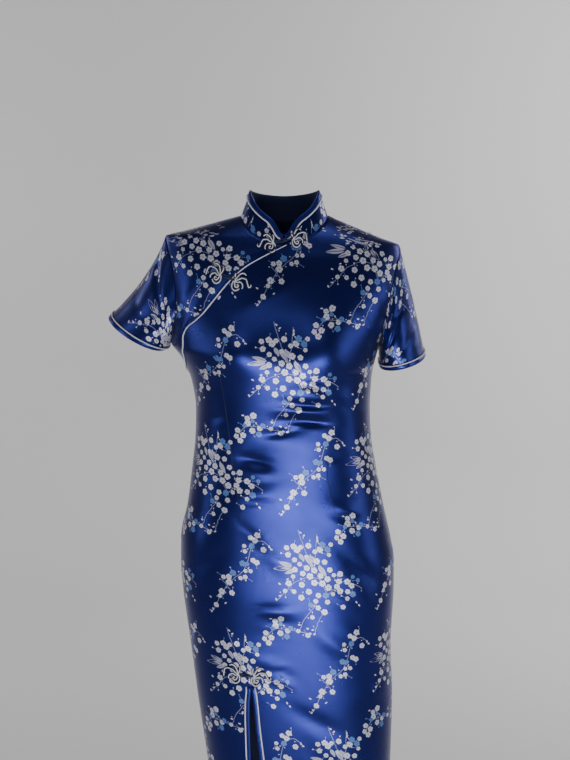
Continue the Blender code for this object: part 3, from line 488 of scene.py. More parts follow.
class Value:
    """A socket that can be used in sums."""

    def __init__(self, tree, socket):
        self.tree = tree
        self.socket = socket

    def node(self, kind, settings, inputs):
        """Any other node: its settings, then the values or links of its sockets. Gives its first output."""
        made = self.tree.nodes.new(kind)
        for name, value in settings.items():
            setattr(made, name, value)
        for name, value in inputs.items():
            if isinstance(value, Value):
                self.tree.links.new(value.socket, made.inputs[name])
            else:
                made.inputs[name].default_value = value
        return Value(self.tree, made.outputs[0])

    def sum_with(self, operation, first, second):
        return self.node("ShaderNodeMath", {"operation": operation}, {0: first, 1: second})

    def __add__(self, other):
        return self.sum_with("ADD", self, other)

    def __radd__(self, other):
        return self.sum_with("ADD", other, self)

    def __sub__(self, other):
        return self.sum_with("SUBTRACT", self, other)

    def __rsub__(self, other):
        return self.sum_with("SUBTRACT", other, self)

    def __mul__(self, other):
        return self.sum_with("MULTIPLY", self, other)

    def __rmul__(self, other):
        return self.sum_with("MULTIPLY", other, self)

    def noise(self, scale, detail=2.0):
        return self.node("ShaderNodeTexNoise", {}, {"Vector": self, "Scale": scale, "Detail": detail})

    def bands(self, direction, scale):
        settings = {"bands_direction": direction}
        return self.node("ShaderNodeTexWave", settings, {"Vector": self, "Scale": scale, "Distortion": 0.0})

    def mix(self, first, second):
        made = self.node("ShaderNodeMix", {"data_type": "RGBA"}, {0: self, 6: first, 7: second})
        return Value(self.tree, made.socket.node.outputs[2])


def material(name, roughness, metallic=0.0, anisotropic=0.0, sheen=0.0, coat=0.0):
    """A new surface, its shader and its Object coordinates."""
    made = bpy.data.materials.new(name)
    made.use_nodes = True
    tree = made.node_tree
    shader = tree.nodes["Principled BSDF"]
    shader.inputs["Roughness"].default_value = roughness
    shader.inputs["Metallic"].default_value = metallic
    shader.inputs["Anisotropic"].default_value = anisotropic
    shader.inputs["Sheen Weight"].default_value = sheen
    shader.inputs["Coat Weight"].default_value = coat
    place = tree.nodes.new("ShaderNodeTexCoord")
    return made, shader, Value(tree, place.outputs["Object"])


def join(value, shader, socket):
    value.tree.links.new(value.socket, shader.inputs[socket])


def cloth_material(name, dark, light, roughness, metallic, weave=0.00010, threads=900, patchy=9.0):
    """Woven cloth whose tone wanders slightly, with a fine thread grain."""
    made, shader, place = material(name, roughness, metallic, anisotropic=0.35, sheen=0.05)
    tone = place.noise(patchy)
    join(tone.mix(dark, light), shader, "Base Color")
    join(roughness - 0.05 + 0.10 * place.noise(patchy * 3), shader, "Roughness")
    grain = place.bands("Z", threads) * 0.5 + place.bands("X", threads * 0.6) * 0.5
    bump = grain.node("ShaderNodeBump", {}, {"Strength": 0.25, "Distance": weave, "Height": grain})
    join(bump, shader, "Normal")
    return made


SATIN = cloth_material("satin_ground", (0.0075, 0.0115, 0.105, 1), (0.012, 0.019, 0.180, 1), 0.29, 0.80)
REVERSE = cloth_material("cloth_reverse", (0.012, 0.018, 0.080, 1), (0.018, 0.026, 0.110, 1), 0.75, 0.0)
BINDING = cloth_material("binding_satin", (0.010, 0.015, 0.150, 1), (0.018, 0.030, 0.280, 1), 0.26, 0.70)
SILVER = cloth_material("silver_thread", (0.44, 0.44, 0.55, 1), (0.76, 0.76, 0.85, 1), 0.38, 0.40, threads=1400)
PALE_BLUE = cloth_material("pale_blue_thread", (0.050, 0.120, 0.380, 1), (0.11, 0.23, 0.57, 1), 0.40, 0.35)
TWIG = cloth_material("twig_thread", (0.15, 0.17, 0.36, 1), (0.30, 0.32, 0.52, 1), 0.42, 0.4)
LEAF = cloth_material("leaf_thread", (0.30, 0.30, 0.44, 1), (0.52, 0.52, 0.64, 1), 0.40, 0.4, threads=1400)
STAMEN = cloth_material("stamen_thread", (0.04, 0.06, 0.24, 1), (0.07, 0.10, 0.34, 1), 0.45, 0.3)
CORD = cloth_material("white_cord", (0.60, 0.61, 0.68, 1), (0.74, 0.74, 0.80, 1), 0.45, 0.05, threads=1100)
NAVY_CORD = cloth_material("navy_cord", (0.004, 0.006, 0.040, 1), (0.010, 0.014, 0.080, 1), 0.5, 0.1)
# Painted shade: a near-black colour for the dart seams, standing in for the shade in their sunk hollow
PAINTED_SEAM_SHADE = cloth_material("seam_shadow", (0.002, 0.003, 0.020, 1), (0.004, 0.006, 0.030, 1), 0.7, 0.0)


def link(name, mesh, materials, replaced=()):
    """Puts a finished mesh in the scene as a piece of the dress."""
    for kind in materials:
        mesh.materials.append(kind)
    item = bpy.data.objects.new(name, mesh)
    bpy.context.collection.objects.link(item)
    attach(item, "root")
    if replaced:
        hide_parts(*replaced)
    return item


# Right-hand edge of the slit, by row of the front's grid
SPLIT_POINTS = {}


def grid_mesh(name, points, flat, closed=False, split=None):
    """A cloth grid: an operator makes its faces, and each point is then put in its place."""
    rows, columns = points.shape[:2]
    wide = columns if closed else columns - 1
    work = bmesh.new()
    bmesh.ops.create_grid(work, x_segments=wide, y_segments=rows - 1, size=0.5)
    layer = work.loops.layers.uv.new("UVMap")
    if split is not None:
        column, top = split
        work.edges.ensure_lookup_table()
        cut = []
        for edge in work.edges:
            a, b = [((v.co.x + 0.5) * wide, (v.co.y + 0.5) * (rows - 1)) for v in edge.verts]
            if abs(a[0] - column) < 0.1 and abs(b[0] - column) < 0.1 and max(a[1], b[1]) < top + 0.1:
                cut.append(edge)
        bmesh.ops.split_edges(work, edges=cut)
    places = {}
    for vertex in work.verts:
        c = round((vertex.co.x + 0.5) * wide)
        r = round((vertex.co.y + 0.5) * (rows - 1))
        right = split is not None and c == split[0] and vertex.link_faces
        if right:
            near = [face.calc_center_median().x for face in vertex.link_faces]
            right = sum(near) / len(near) > vertex.co.x + 1e-6
        places[vertex] = (r, c, right)
    moves = {}
    for vertex, (r, c, right) in places.items():
        if right and r < split[1]:
            moves[vertex] = SPLIT_POINTS[r]
        else:
            moves[vertex] = points[r, c % columns]
    for face in work.faces:
        for loop in face.loops:
            r, c, right = places[loop.vert]
            spot = flat[r, c % columns]
            last = closed and c == columns
            loop[layer].uv = (flat[r, 0, 0] + flat[r, -1, 2] if last else spot[0], spot[1])
        face.smooth = True
    for vertex, point in moves.items():
        vertex.co = point
    if closed:
        bmesh.ops.remove_doubles(work, verts=work.verts, dist=1e-6)
    mesh = bpy.data.meshes.new(name)
    work.to_mesh(mesh)
    work.free()
    return mesh


def thicken(item, outwards, thickness=CLOTH):
    """Checks which way the faces point, then gives the cloth its thickness on the inside."""
    mesh = item.data
    face = mesh.polygons[len(mesh.polygons) // 2]
    if Vector(face.normal).dot(Vector(outwards(face.center))) < 0:
        mesh.flip_normals()
    wall = item.modifiers.new("wall", "SOLIDIFY")
    wall.thickness = thickness
    wall.offset = -1.0
    wall.material_offset = 1
    wall.material_offset_rim = 0


def arc_grid(points):
    """Distances along each row and height, as a flat layout in metres."""
    step = np.linalg.norm(np.diff(points, axis=1), axis=-1)
    far = np.concatenate([np.zeros((len(points), 1)), np.cumsum(step, axis=1)], axis=1)
    far = far - far[:, far.shape[1] // 2][:, None]
    closing = np.linalg.norm(points[:, 0] - points[:, -1], axis=-1)
    return np.stack([far, points[..., 2], np.repeat(closing[:, None], far.shape[1], axis=1)], axis=-1)


# Turns and heights of each body panel
def placket_edge():
    line = even(PLACKET, UPPER_STEPS)
    places = np.stack([turn_at(line[:, 0], line[:, 1]), line[:, 1]], axis=1)
    places[0] = (-SIDE, JOIN)
    places[-1] = (0.0, -NECK_FRONT_DROP)
    return places


def side_and_armhole(side, back):
    rows = [(side * SIDE, JOIN)]
    rows += [armhole(side, k / ARMHOLE_STEPS, back) for k in range(ARMHOLE_STEPS + 1)]
    return np.array(rows)


def shoulder(side, count):
    tip = ARMHOLE[side][0]
    return np.array([(side * SIDE, tip * k / count) for k in range(count + 1)])


def slit_turns(z, half):
    return float(turn_at(SLIT_PLACE(z) + half * SLIT_GAP(z) / 2, z))


SLIT_TURN = float(turn_at(-0.0500, -0.950))
FRONT_TURNS = np.concatenate(
    [
        np.linspace(-SIDE, SLIT_TURN, COLUMNS_LEFT_OF_SLIT + 1),
        np.linspace(SLIT_TURN, SIDE, COLUMNS_RIGHT_OF_SLIT + 1)[1:],
    ]
)


def front_places():
    """The front's grid, with its slit column moved onto the slit's left edge."""
    lower = np.zeros((len(ROWS), len(FRONT_TURNS), 2))
    for r, z in enumerate(ROWS):
        fade = np.clip((-0.60 - z) / 0.15, 0, 1)
        above = SLIT_TURN + fade * (slit_turns(SLIT_TOP, -1) - SLIT_TURN)
        left = slit_turns(z, -1) if z <= SLIT_TOP else above
        right = slit_turns(z, 1) if z <= SLIT_TOP else left
        for c, turn in enumerate(FRONT_TURNS):
            if c <= COLUMNS_LEFT_OF_SLIT:
                near = (turn + SIDE) / (SLIT_TURN + SIDE)
                turn = turn + (left - SLIT_TURN) * near * near
            else:
                near = (SIDE - turn) / (SIDE - SLIT_TURN)
                turn = turn + (right - SLIT_TURN) * near * near
            lower[r, c] = (turn, z)
    neck = [neckline(SIDE * k / NECK_COLUMNS) for k in range(NECK_COLUMNS + 1)]
    seam = shoulder(1, len(FRONT_TURNS) - 1 - NECK_COLUMNS)[1:]
    upper = patch(lower[-1], np.array(list(neck) + list(seam)), placket_edge(), side_and_armhole(1, False))
    return np.concatenate([lower, upper[1:]])


def back_places():
    columns = 2 * BACK_SHOULDER_COLUMNS + BACK_NECK_COLUMNS
    turns = np.linspace(SIDE, 3 * SIDE, columns + 1)
    lower = np.array([[(turn, z) for turn in turns] for z in ROWS])
    left_seam = shoulder(-1, BACK_SHOULDER_COLUMNS)[1:]
    left_seam[:, 0] += 2 * math.pi
    step = math.pi / BACK_NECK_COLUMNS
    neck = [neckline(SIDE + step * k) for k in range(1, BACK_NECK_COLUMNS)]
    neck = [(turn % (2 * math.pi), z) for turn, z in neck] + [(3 * SIDE, 0.0)]
    top = np.concatenate([shoulder(1, BACK_SHOULDER_COLUMNS)[::-1], np.array(neck), left_seam])
    left = side_and_armhole(-1, True)
    left[:, 0] += 2 * math.pi
    upper = patch(lower[-1], top, side_and_armhole(1, True), left)
    return np.concatenate([lower, upper[1:]])


def under_places():
    neck = np.array([neckline(-SIDE * k / UPPER_STEPS) for k in range(UPPER_STEPS + 1)])
    return patch(placket_edge(), shoulder(-1, UPPER_STEPS)[::-1], side_and_armhole(-1, False), neck)


SLIT_ROW = ROWS.index(SLIT_TOP)
JOIN_ROW = len(ROWS) - 1


def body_out(centre):
    return (centre[0] - float(DRIFT(centre[2])), centre[1], 0.0)


def build_front():
    """The front panel, its trimmed edges and the strip that the under piece is tucked beneath."""
    places = finer(front_places())
    surface = form(places[..., 0], places[..., 1])
    out = facing_out(places[..., 0], places[..., 1])
    moved = pulled(surface)
    column = COLUMNS_LEFT_OF_SLIT * FINE
    top = SLIT_ROW * FINE
    heights = places[:, column, 1]
    for c in range(column + 1, column + FINE):
        share = (c - column) / FINE
        for r in range(top):
            start = slit_turns(heights[r], 1)
            turn = start + (places[r, column + FINE, 0] - start) * share
            moved[r, c] = form(turn, heights[r])
    for r in range(top):
        SPLIT_POINTS[r] = form(slit_turns(heights[r], 1), heights[r])
    flat = arc_grid(surface)
    mesh = grid_mesh("front_cloth", moved, flat, split=(column, top))
    item = link("front_cloth", mesh, [SATIN, REVERSE], ["front"])
    thicken(item, body_out)
    rows = range(top + 1)
    left = np.array([moved[r, column] for r in rows])
    left_in = np.array([moved[r, column - 2] for r in rows])
    right = np.array([SPLIT_POINTS.get(r, moved[r, column]) for r in rows])
    right_in = np.array([moved[r, column + 2] for r in rows])
    ways = np.array([out[r, column] for r in rows])
    join_row = JOIN_ROW * FINE
    edges = {
        "placket": (moved[join_row:, 0], moved[join_row:, 2], out[join_row:, 0]),
        "slit_left": (left, left_in, ways),
        "slit_right": (right, right_in, ways),
    }
    tuck = (surface[join_row:, : FINE + 1], out[join_row:, : FINE + 1])
    return item, edges, tuck


TUCK_DEPTH = 0.0019
TUCK_FADE = 2 * FINE


def build_under(tuck):
    """The shoulder piece: tucked beneath the slanting edge, then rising to the shoulder."""
    strip, ways = tuck
    places = finer(under_places())
    surface = pulled(form(places[..., 0], places[..., 1]))
    out = facing_out(places[..., 0], places[..., 1])
    surface = np.concatenate([strip[:, :0:-1].transpose(1, 0, 2), surface])
    out = np.concatenate([ways[:, :0:-1].transpose(1, 0, 2), out])
    for r in range(len(surface)):
        far = np.clip((r - FINE) / TUCK_FADE, 0, 1)
        surface[r] -= out[r] * TUCK_DEPTH * (1 - far) ** 2
    mesh = grid_mesh("under_cloth", surface, arc_grid(surface))
    item = link("under_cloth", mesh, [SATIN, REVERSE], ["front_under"])
    thicken(item, body_out)
    return item


def build_back():
    places = finer(back_places())
    surface = form(places[..., 0], places[..., 1])
    mesh = grid_mesh("back_cloth", pulled(surface), arc_grid(surface))
    item = link("back_cloth", mesh, [SATIN, REVERSE], ["back"])
    thicken(item, body_out)
    return item


SLEEVE_COLUMNS = 144
SLEEVE_FINE_ROWS = 36


def sleeve_point(side, angle, share):
    """Points of a sleeve by angle round the arm and share of its length; both are arrays."""
    angle = np.asarray(angle, dtype=float) % (2 * math.pi)
    share = np.asarray(share, dtype=float)
    tip, pit, scoop_front, scoop_back = ARMHOLE[side]
    front = angle <= math.pi
    along = np.where(front, 1 - angle / math.pi, angle / math.pi - 1)
    z = 0.5 * (tip + pit) - 0.5 * (tip - pit) * np.cos(math.pi * along)
    inward = np.sin(math.pi * along)
    turn = side * SIDE + side * np.where(front, -scoop_front, scoop_back) * inward
    start = form(turn, z)
    outer, inner, ahead, bulge = (np.array(v) for v in SLEEVE[side])
    centre = (outer + inner) / 2
    cos = np.cos(angle)[..., None]
    sin = np.sin(angle)[..., None]
    end = centre + cos * (outer - inner) / 2 + sin * ahead
    out = unit(end - centre)
    s = share[..., None]
    full = 4 * s * (1 - s)
    push = full * (bulge * np.clip(cos, 0, 1) ** 2 + SLEEVE_FULLNESS * np.abs(sin))
    for n, (place, spot, depth, half, wide, slant) in enumerate(SLEEVE_CREASES[side]):
        away = (np.degrees(angle) - place + 180) % 360 - 180
        across = (share - spot - slant * away) / wide
        dent = depth * np.exp(-((away / half) ** 2)) * np.exp(-across * across)
        push = push + dent[..., None] * np.sqrt(full)
    return start * (1 - s) + end * s + out * push


def build_sleeve(side, word):
    angles = np.arange(SLEEVE_COLUMNS) / SLEEVE_COLUMNS * 2 * math.pi
    shares_down = np.linspace(0, 1, SLEEVE_FINE_ROWS + 1)
    points = sleeve_point(side, *np.meshgrid(angles, shares_down))
    moved = pulled(points, closed=True, edge=0.0004)
    mesh = grid_mesh(f"sleeve_cloth_{word}", moved, arc_grid(points), closed=True)
    item = link(f"sleeve_cloth_{word}", mesh, [SATIN, REVERSE], [f"sleeve_{word}"])
    middle = points.mean(axis=(0, 1))
    thicken(item, lambda centre: Vector(centre) - Vector(middle))
    out = grid_normals(points, True)
    return item, (moved[-1], moved[-4], out[-1])


def collar_point(angle, share):
    """A point of the stand collar by angle from the centre front and share of its height."""
    near = angle if angle <= math.pi else 2 * math.pi - angle
    side = 1 if angle <= math.pi else -1
    turn, z = neckline(side * near)
    base = form(turn, z, 0)
    ahead = math.cos(near)
    rim_z = RIM_SIDE + (RIM_FRONT - RIM_SIDE) * max(ahead, 0) ** NECK_SWEEP
    rim_x = float(DRIFT(0.0)) + side * RIM_WIDTH * math.sin(near)
    rim = np.array([rim_x, RIM_MIDDLE - RIM_DEPTH * ahead, rim_z])
    height = float(COLLAR_HEIGHT(math.degrees(near)))
    return base + unit(rim - base) * (COLLAR_RISE + (height - COLLAR_RISE) * share)


def collar_angles():
    start = math.radians(COLLAR_START)
    half = start + (math.pi - start) * np.linspace(0, 1, COLLAR_COLUMNS // 2 + 1) ** 1.25
    return np.concatenate([half, 2 * math.pi - half[-2::-1]])


def build_collar():
    angles = collar_angles()
    points = np.array([[collar_point(a, r / COLLAR_ROWS) for a in angles] for r in range(COLLAR_ROWS + 1)])
    mesh = grid_mesh("collar_cloth", points, arc_grid(points))
    item = link("collar_cloth", mesh, [SATIN, REVERSE], ["collar"])
    thicken(item, lambda centre: (centre[0], centre[1] - RIM_MIDDLE, 0.0))
    out = grid_normals(points, False)
    slope = unit(np.gradient(points[-1], axis=0))
    down = unit(points[-4] - points[-1])
    inward = unit(down - slope * np.sum(down * slope, axis=1, keepdims=True))
    return item, (points[-1], points[-1] + inward * 0.01, out[-1]), points


def sweep(name, rings, closed):
    """Skins rings of points: a grid is wrapped onto them, closed round and capped at open ends."""
    count, sides = rings.shape[:2]
    long = count if closed else count - 1
    work = bmesh.new()
    bmesh.ops.create_grid(work, x_segments=sides, y_segments=long, size=0.5)
    for vertex in work.verts:
        c = round((vertex.co.x + 0.5) * sides) % sides
        r = round((vertex.co.y + 0.5) * long) % count
        vertex.co = rings[r, c]
    bmesh.ops.remove_doubles(work, verts=work.verts, dist=1e-7)
    for face in work.faces:
        face.smooth = True
    if not closed:
        bmesh.ops.holes_fill(work, edges=[edge for edge in work.edges if edge.is_boundary], sides=0)
    bmesh.ops.recalc_face_normals(work, faces=work.faces)
    mesh = bpy.data.meshes.new(name)
    work.to_mesh(mesh)
    work.free()
    return mesh


def band(name, edge, near, far, closed, replaced, lift=0.0004, thick=0.0008):
    """A bias binding along an edge, softly rounded across."""
    line, inside, out = edge
    way = unit(inside - line)
    profile = [(near, 0.0), (near, 0.7), (near + 0.0006, 1.0)]
    profile += [(near + (far - near) * k / 4, 1.0 + 0.5 * math.sin(math.pi * k / 4)) for k in (1, 2, 3)]
    profile += [(far - 0.0005, 1.0), (far, 0.6), (far, 0.0)]
    rings = np.stack([line + way * across + out * (lift + thick * up) for across, up in profile], axis=1)
    return link(name, sweep(name, rings, closed), [BINDING], replaced)


def cord(name, edge, across, closed, replaced, lift=0.0004, radius=PIPING, kind=None):
    """A round cord along an edge, at a distance across the panel."""
    line, inside, out = edge
    way = unit(inside - line)
    rings = []
    for k in range(12):
        angle = 2 * math.pi * k / 12
        place = line + way * (across + radius * math.cos(angle))
        rings.append(place + out * (lift + radius + radius * math.sin(angle)))
    return link(name, sweep(name, np.stack(rings, axis=1), closed), [kind or CORD], replaced)


# Plum blossom weave, charted for one repeat of the cloth in tenths of a millimetre: across, down
BLOSSOMS = [
    (1297, 682), (1410, 540), (1457, 599), (1527, 552), (1657, 529), (1751, 635), (1840, 599), (1375, 940),
    (1469, 846), (1579, 916), (1697, 959), (1614, 1062), (1791, 1062), (1673, 1175), (1805, 1194), (1896, 1269),
    (1457, 1206), (1311, 1323), (1163, 1311), (2016, 1053), (2127, 1039), (2087, 1170), (2232, 1182), (2298, 1257),
    (2084, 1344), (2214, 1358), (2193, 1480), (2103, 1622), (1711, 1398), (1652, 1497), (1680, 1617), (1779, 1697),
    (1981, 698), (2033, 522),
    (1395, 770), (1330, 1060), (1500, 1010), (1240, 1180), (1560, 1330), (1420, 1430), (1900, 1120), (1960, 960),
    (1890, 820), (1760, 800), (1600, 720), (1960, 1380), (1850, 1520), (1560, 1780), (2040, 1260), (1290, 560),
    (2186, 306), (2150, 411), (2268, 388), (2209, 482), (2432, 306), (2561, 263), (2738, 270), (2891, 348),
    (2374, 94), (2369, 176), (2479, 47),
    (2280, 2103), (2157, 2150), (2221, 2197), (2033, 2291), (2033, 2385), (2350, 2350), (2150, 2538), (2204, 2573),
    (1993, 2726), (2080, 2726), (1974, 2832), (1892, 2855), (1692, 2844), (1687, 2938), (1598, 2855), (1528, 3114),
    (1480, 3196), (1386, 3361), (1704, 3126),
]
BLUE_BLOSSOMS = [
    (1892, 522), (1969, 606), (2338, 1105), (2420, 1175), (2298, 1410), (1833, 1403), (1563, 1563),
    (2315, 223), (2456, 141), (2613, 223), (2533, 367), (2162, 2291), (1962, 2597), (2040, 2604), (1774, 2773),
]
# Buds: across, down
BUDS = [
    (1540, 305), (1600, 340), (1810, 388), (1835, 450), (1316, 1998), (1330, 1900), (1551, 2092), (1540, 1990),
    (1010, 1457), (1060, 1410), (2890, 240), (2950, 310), (2300, 60), (2440, 2290), (2490, 2330), (1330, 3440),
    (1290, 3500), (1560, 3300), (1290, 3240), (1230, 1120), (2360, 1560), (2400, 1620), (1100, 1180),
]
# Twigs: points across and down
TWIGS = [
    [(1520, 250), (1545, 400), (1600, 640), (1690, 900), (1790, 1180), (1870, 1400)],
    [(1820, 340), (1790, 520), (1740, 760), (1700, 980)],
    [(1010, 1470), (1160, 1330), (1370, 1150), (1600, 1080), (1800, 1120)],
    [(1870, 1400), (1990, 1300), (2150, 1180), (2330, 1230), (2480, 1330)],
    [(1316, 2010), (1400, 1840), (1560, 1660), (1700, 1500)],
    [(1551, 2100), (1640, 1880), (1760, 1700)],
    [(2960, 330), (2780, 290), (2560, 240), (2380, 230), (2170, 400)],
    [(2560, 250), (2460, 120), (2380, 40)],
    [
        (2500, 2340), (2330, 2200), (2160, 2300), (2080, 2500), (1960, 2720),
        (1760, 2880), (1600, 3040), (1420, 3300), (1290, 3510),
    ],
    [(2160, 2300), (2280, 2140), (2340, 2040)],
    [(1700, 3120), (1640, 3000), (1560, 2900)],
]
# Pointed leaves: base across and down, tip across and down, width
LEAVES = [
    (1330, 900, 1010, 925, 46),
    (1350, 880, 1110, 800, 40),
    (1380, 940, 1200, 1010, 38),
    (1620, 700, 1790, 860, 46),
    (1560, 690, 1700, 900, 40),
    (1770, 880, 1900, 1080, 44),
    (1480, 660, 1560, 800, 36),
]
REPEAT_WIDE = 0.290
REPEAT_TALL = 0.350
BLOOM_SIZE = 0.0046


def flat_pattern():
    """One repeat of the weave as flat pieces: each is a list of points, a centre and a thread."""
    chance = random.Random(11)
    pieces = []

    def petal(cx, cy, angle, size, thread):
        reach = size * 0.62
        px = cx + math.cos(angle) * reach
        py = cy + math.sin(angle) * reach
        outline = []
        for k in range(8):
            a = 2 * math.pi * k / 8
            long = size * (0.52 if k else 0.40) * math.cos(a)
            wide = size * 0.46 * math.sin(a) * (1.0 + 0.25 * math.cos(a))
            x = px + long * math.cos(angle) - wide * math.sin(angle)
            y = py + long * math.sin(angle) + wide * math.cos(angle)
            outline.append((x, y))
        pieces.append((outline, thread))

    def dot(cx, cy, size, thread, sides=5):
        turn = chance.uniform(0, math.pi)
        angles = [turn + 2 * math.pi * k / sides for k in range(sides)]
        outline = [(cx + size * math.cos(a), cy + size * math.sin(a)) for a in angles]
        pieces.append((outline, thread))

    for spots, thread in ((BLOSSOMS, 0), (BLUE_BLOSSOMS, 1)):
        for across, down in spots:
            cx = across * 1e-4
            cy = -down * 1e-4
            start = chance.uniform(0, 2 * math.pi)
            size = BLOOM_SIZE * chance.uniform(0.74, 1.20)
            for k in range(5):
                petal(cx, cy, start + 2 * math.pi * k / 5, size, thread)
            dot(cx, cy, size * 0.20, 3)
            for k in range(5):
                a = start + math.pi / 5 + 2 * math.pi * k / 5
                dot(cx + math.cos(a) * size * 0.42, cy + math.sin(a) * size * 0.48, size * 0.075, 3, 4)
    for across, down in BLOSSOMS + BLUE_BLOSSOMS:
        if chance.random() > 0.5:
            continue
        angle = chance.uniform(0, 2 * math.pi)
        way = np.array((math.cos(angle), math.sin(angle)))
        aside = np.array((-way[1], way[0])) * 0.00032
        base = np.array((across, -down)) * 1e-4 + way * BLOOM_SIZE
        tip = base + way * chance.uniform(0.0030, 0.0062)
        corners = (base - aside, tip - aside, tip + aside, base + aside)
        pieces.append(([tuple(corner) for corner in corners], 2))
        petal(tip[0], tip[1], angle, chance.uniform(0.0020, 0.0030), chance.choice((0, 0, 1)))
    for across, down in BUDS:
        cx = across * 1e-4
        cy = -down * 1e-4
        angle = chance.uniform(0, 2 * math.pi)
        petal(cx, cy, angle, 0.0030, 0)
        petal(cx, cy, angle + 1.2, 0.0024, 0)
    for across, down, tip_across, tip_down, wide in LEAVES:
        a = np.array((across, -down)) * 1e-4
        b = np.array((tip_across, -tip_down)) * 1e-4
        way = b - a
        aside = np.array((-way[1], way[0])) / np.linalg.norm(way) * wide * 1e-4
        for side in (-1, 1):
            steps = (0.02, 0.2, 0.4, 0.6, 0.8, 0.99)
            wides = [side * (0.06 + 0.9 * math.sin(math.pi * t**0.8)) for t in steps]
            outline = [a + way * t + aside * w for t, w in zip(steps, wides)]
            outline += [a + way * t + aside * side * 0.07 for t in (0.9, 0.5, 0.06)]
            pieces.append(([tuple(p) for p in outline], 4))
    for twig in TWIGS:
        line = even([(x * 1e-4, -y * 1e-4) for x, y in twig], 6 * (len(twig) - 1))
        shakes = [(chance.uniform(-1, 1), chance.uniform(-1, 1)) for _ in line[1:-1]]
        line[1:-1] += np.array(shakes) * 0.0005
        for k in range(len(line) - 1):
            way = unit(line[k + 1] - line[k])
            aside = np.array((-way[1], way[0]))
            half = 0.00048
            a = line[k] - way * 0.0002
            b = line[k + 1] + way * 0.0002
            corners = (a - aside * half, b - aside * half, b + aside * half, a + aside * half)
            pieces.append(([tuple(corner) for corner in corners], 2))
            if k % 4 == 2:
                side = 1 if k % 8 == 2 else -1
                tip = b + (aside * side * 0.8 + way * 0.6) * 0.0042
                pieces.append(([tuple(b - way * half), tuple(b + way * half), tuple(tip)], 2))
                petal(tip[0], tip[1], math.atan2(tip[1] - b[1], tip[0] - b[0]), 0.0020, 0)
    flat = []
    for outline, thread in pieces:
        points = np.array(outline)
        flat.append((points, points.mean(axis=0), thread))
    return flat


PATTERN = flat_pattern()
THREADS = [SILVER, PALE_BLUE, TWIG, STAMEN, LEAF]
DECAL_LIFT = [0.00026, 0.00028, 0.00018, 0.00036, 0.00022]
FABRIC_TILT = 0.10


def repeats(low_u, high_u, low_v, high_v, shift=(0.0, 0.0)):
    """Each flat piece of the weave, over a region of the cloth laid flat."""
    wide = math.ceil((high_u - low_u) / REPEAT_WIDE) + 2
    tall = math.ceil((high_v - low_v) / REPEAT_TALL) + 2
    first_u = math.floor((low_u - shift[0]) / REPEAT_WIDE) - 1
    first_v = math.floor((low_v - shift[1]) / REPEAT_TALL) - 1
    for i in range(wide + 1):
        for j in range(tall + 1):
            for half in (0, 1):
                du = (first_u + i + 0.5 * half) * REPEAT_WIDE + shift[0]
                dv = (first_v + j + 0.5 * half) * REPEAT_TALL + shift[1]
                for points, middle, thread in PATTERN:
                    u, v = middle[0] + du, middle[1] + dv
                    if low_u < u < high_u and low_v < v < high_v:
                        yield points - middle, u, v, thread


def tree_of(items):
    """A search tree over the outsides of some pieces."""
    work = bmesh.new()
    for item in items:
        work.from_mesh(item.data)
    tree = BVHTree.FromBMesh(work)
    work.free()
    return tree


SPREAD = 1.5


def weave(name, found, place, cloth):
    """Lays flat woven pieces on a cloth, and leaves out those that its edges would stretch."""
    a = np.concatenate([row[0] for row in found])
    b = np.concatenate([row[1] for row in found])
    points = place(a, b)
    tree = tree_of([cloth])
    work = bmesh.new()
    at = 0
    for first, second, thread, reach in found:
        spots = []
        for point in points[at : at + len(first)]:
            spot, normal, face, far = tree.find_nearest(Vector(point))
            spots.append(spot + normal * DECAL_LIFT[thread])
        at += len(first)
        middle = sum(spots, Vector()) / len(spots)
        if max((spot - middle).length for spot in spots) > SPREAD * reach + 0.0004:
            continue
        face = work.faces.new([work.verts.new(spot) for spot in spots])
        face.material_index = thread
        face.smooth = True
    mesh = bpy.data.meshes.new(name)
    work.to_mesh(mesh)
    work.free()
    return link(name, mesh, THREADS)


HEIGHTS = np.linspace(HEM, 0.0, 251)
TURNS = np.linspace(0, math.pi, 181)
ARCS = {}
for way in (1, -1):
    lines = form(way * TURNS[None, :], HEIGHTS[:, None], 0)
    steps = np.linalg.norm(np.diff(lines, axis=1), axis=-1)
    ARCS[way] = np.concatenate([np.zeros((len(HEIGHTS), 1)), np.cumsum(steps, axis=1)], axis=1)


def turns_from(across, z, back):
    """Turns at distances round the body from the centre front, or from the centre back."""
    rows = np.clip(np.rint((z - HEM) / 0.005), 0, len(HEIGHTS) - 1).astype(int)
    found = np.zeros(len(across))
    for row in np.unique(rows):
        for way in (1, -1):
            picked = (rows == row) & ((across >= 0) if way > 0 else (across < 0))
            far = np.abs(across[picked])
            if back:
                turn = np.interp(ARCS[way][row, -1] - far, ARCS[way][row], TURNS)
                found[picked] = turn if way > 0 else 2 * math.pi - turn
            else:
                found[picked] = way * np.interp(far, ARCS[way][row], TURNS)
    return found


PLACKET_LINE = placket_edge()
NECK_FRONT_LINE = np.array([neckline(SIDE * k / 40) for k in range(41)])
NECK_BACK_LINE = np.array([neckline(SIDE + SIDE * k / 40) for k in range(41)])
TRIM_MARGIN = 0.0105
SEAM_MARGIN = 0.012


def in_armhole(turn, z, back, margin=0.010):
    """Which places on the body are cut away for a sleeve."""
    cut = np.zeros(len(turn), dtype=bool)
    away = SIDE - np.abs(np.arcsin(np.clip(np.sin(turn), -1, 1)))
    for side in (-1, 1):
        tip, pit, scoop_front, scoop_back = ARMHOLE[side]
        along = np.arccos(np.clip((0.5 * (tip + pit) - z) / (0.5 * (tip - pit)), -1, 1)) / math.pi
        scoop = (scoop_back if back else scoop_front) * np.sin(math.pi * along)
        cut |= (np.sign(np.sin(turn)) == side) & (z > pit - 0.004) & (away < scoop + margin)
    return cut


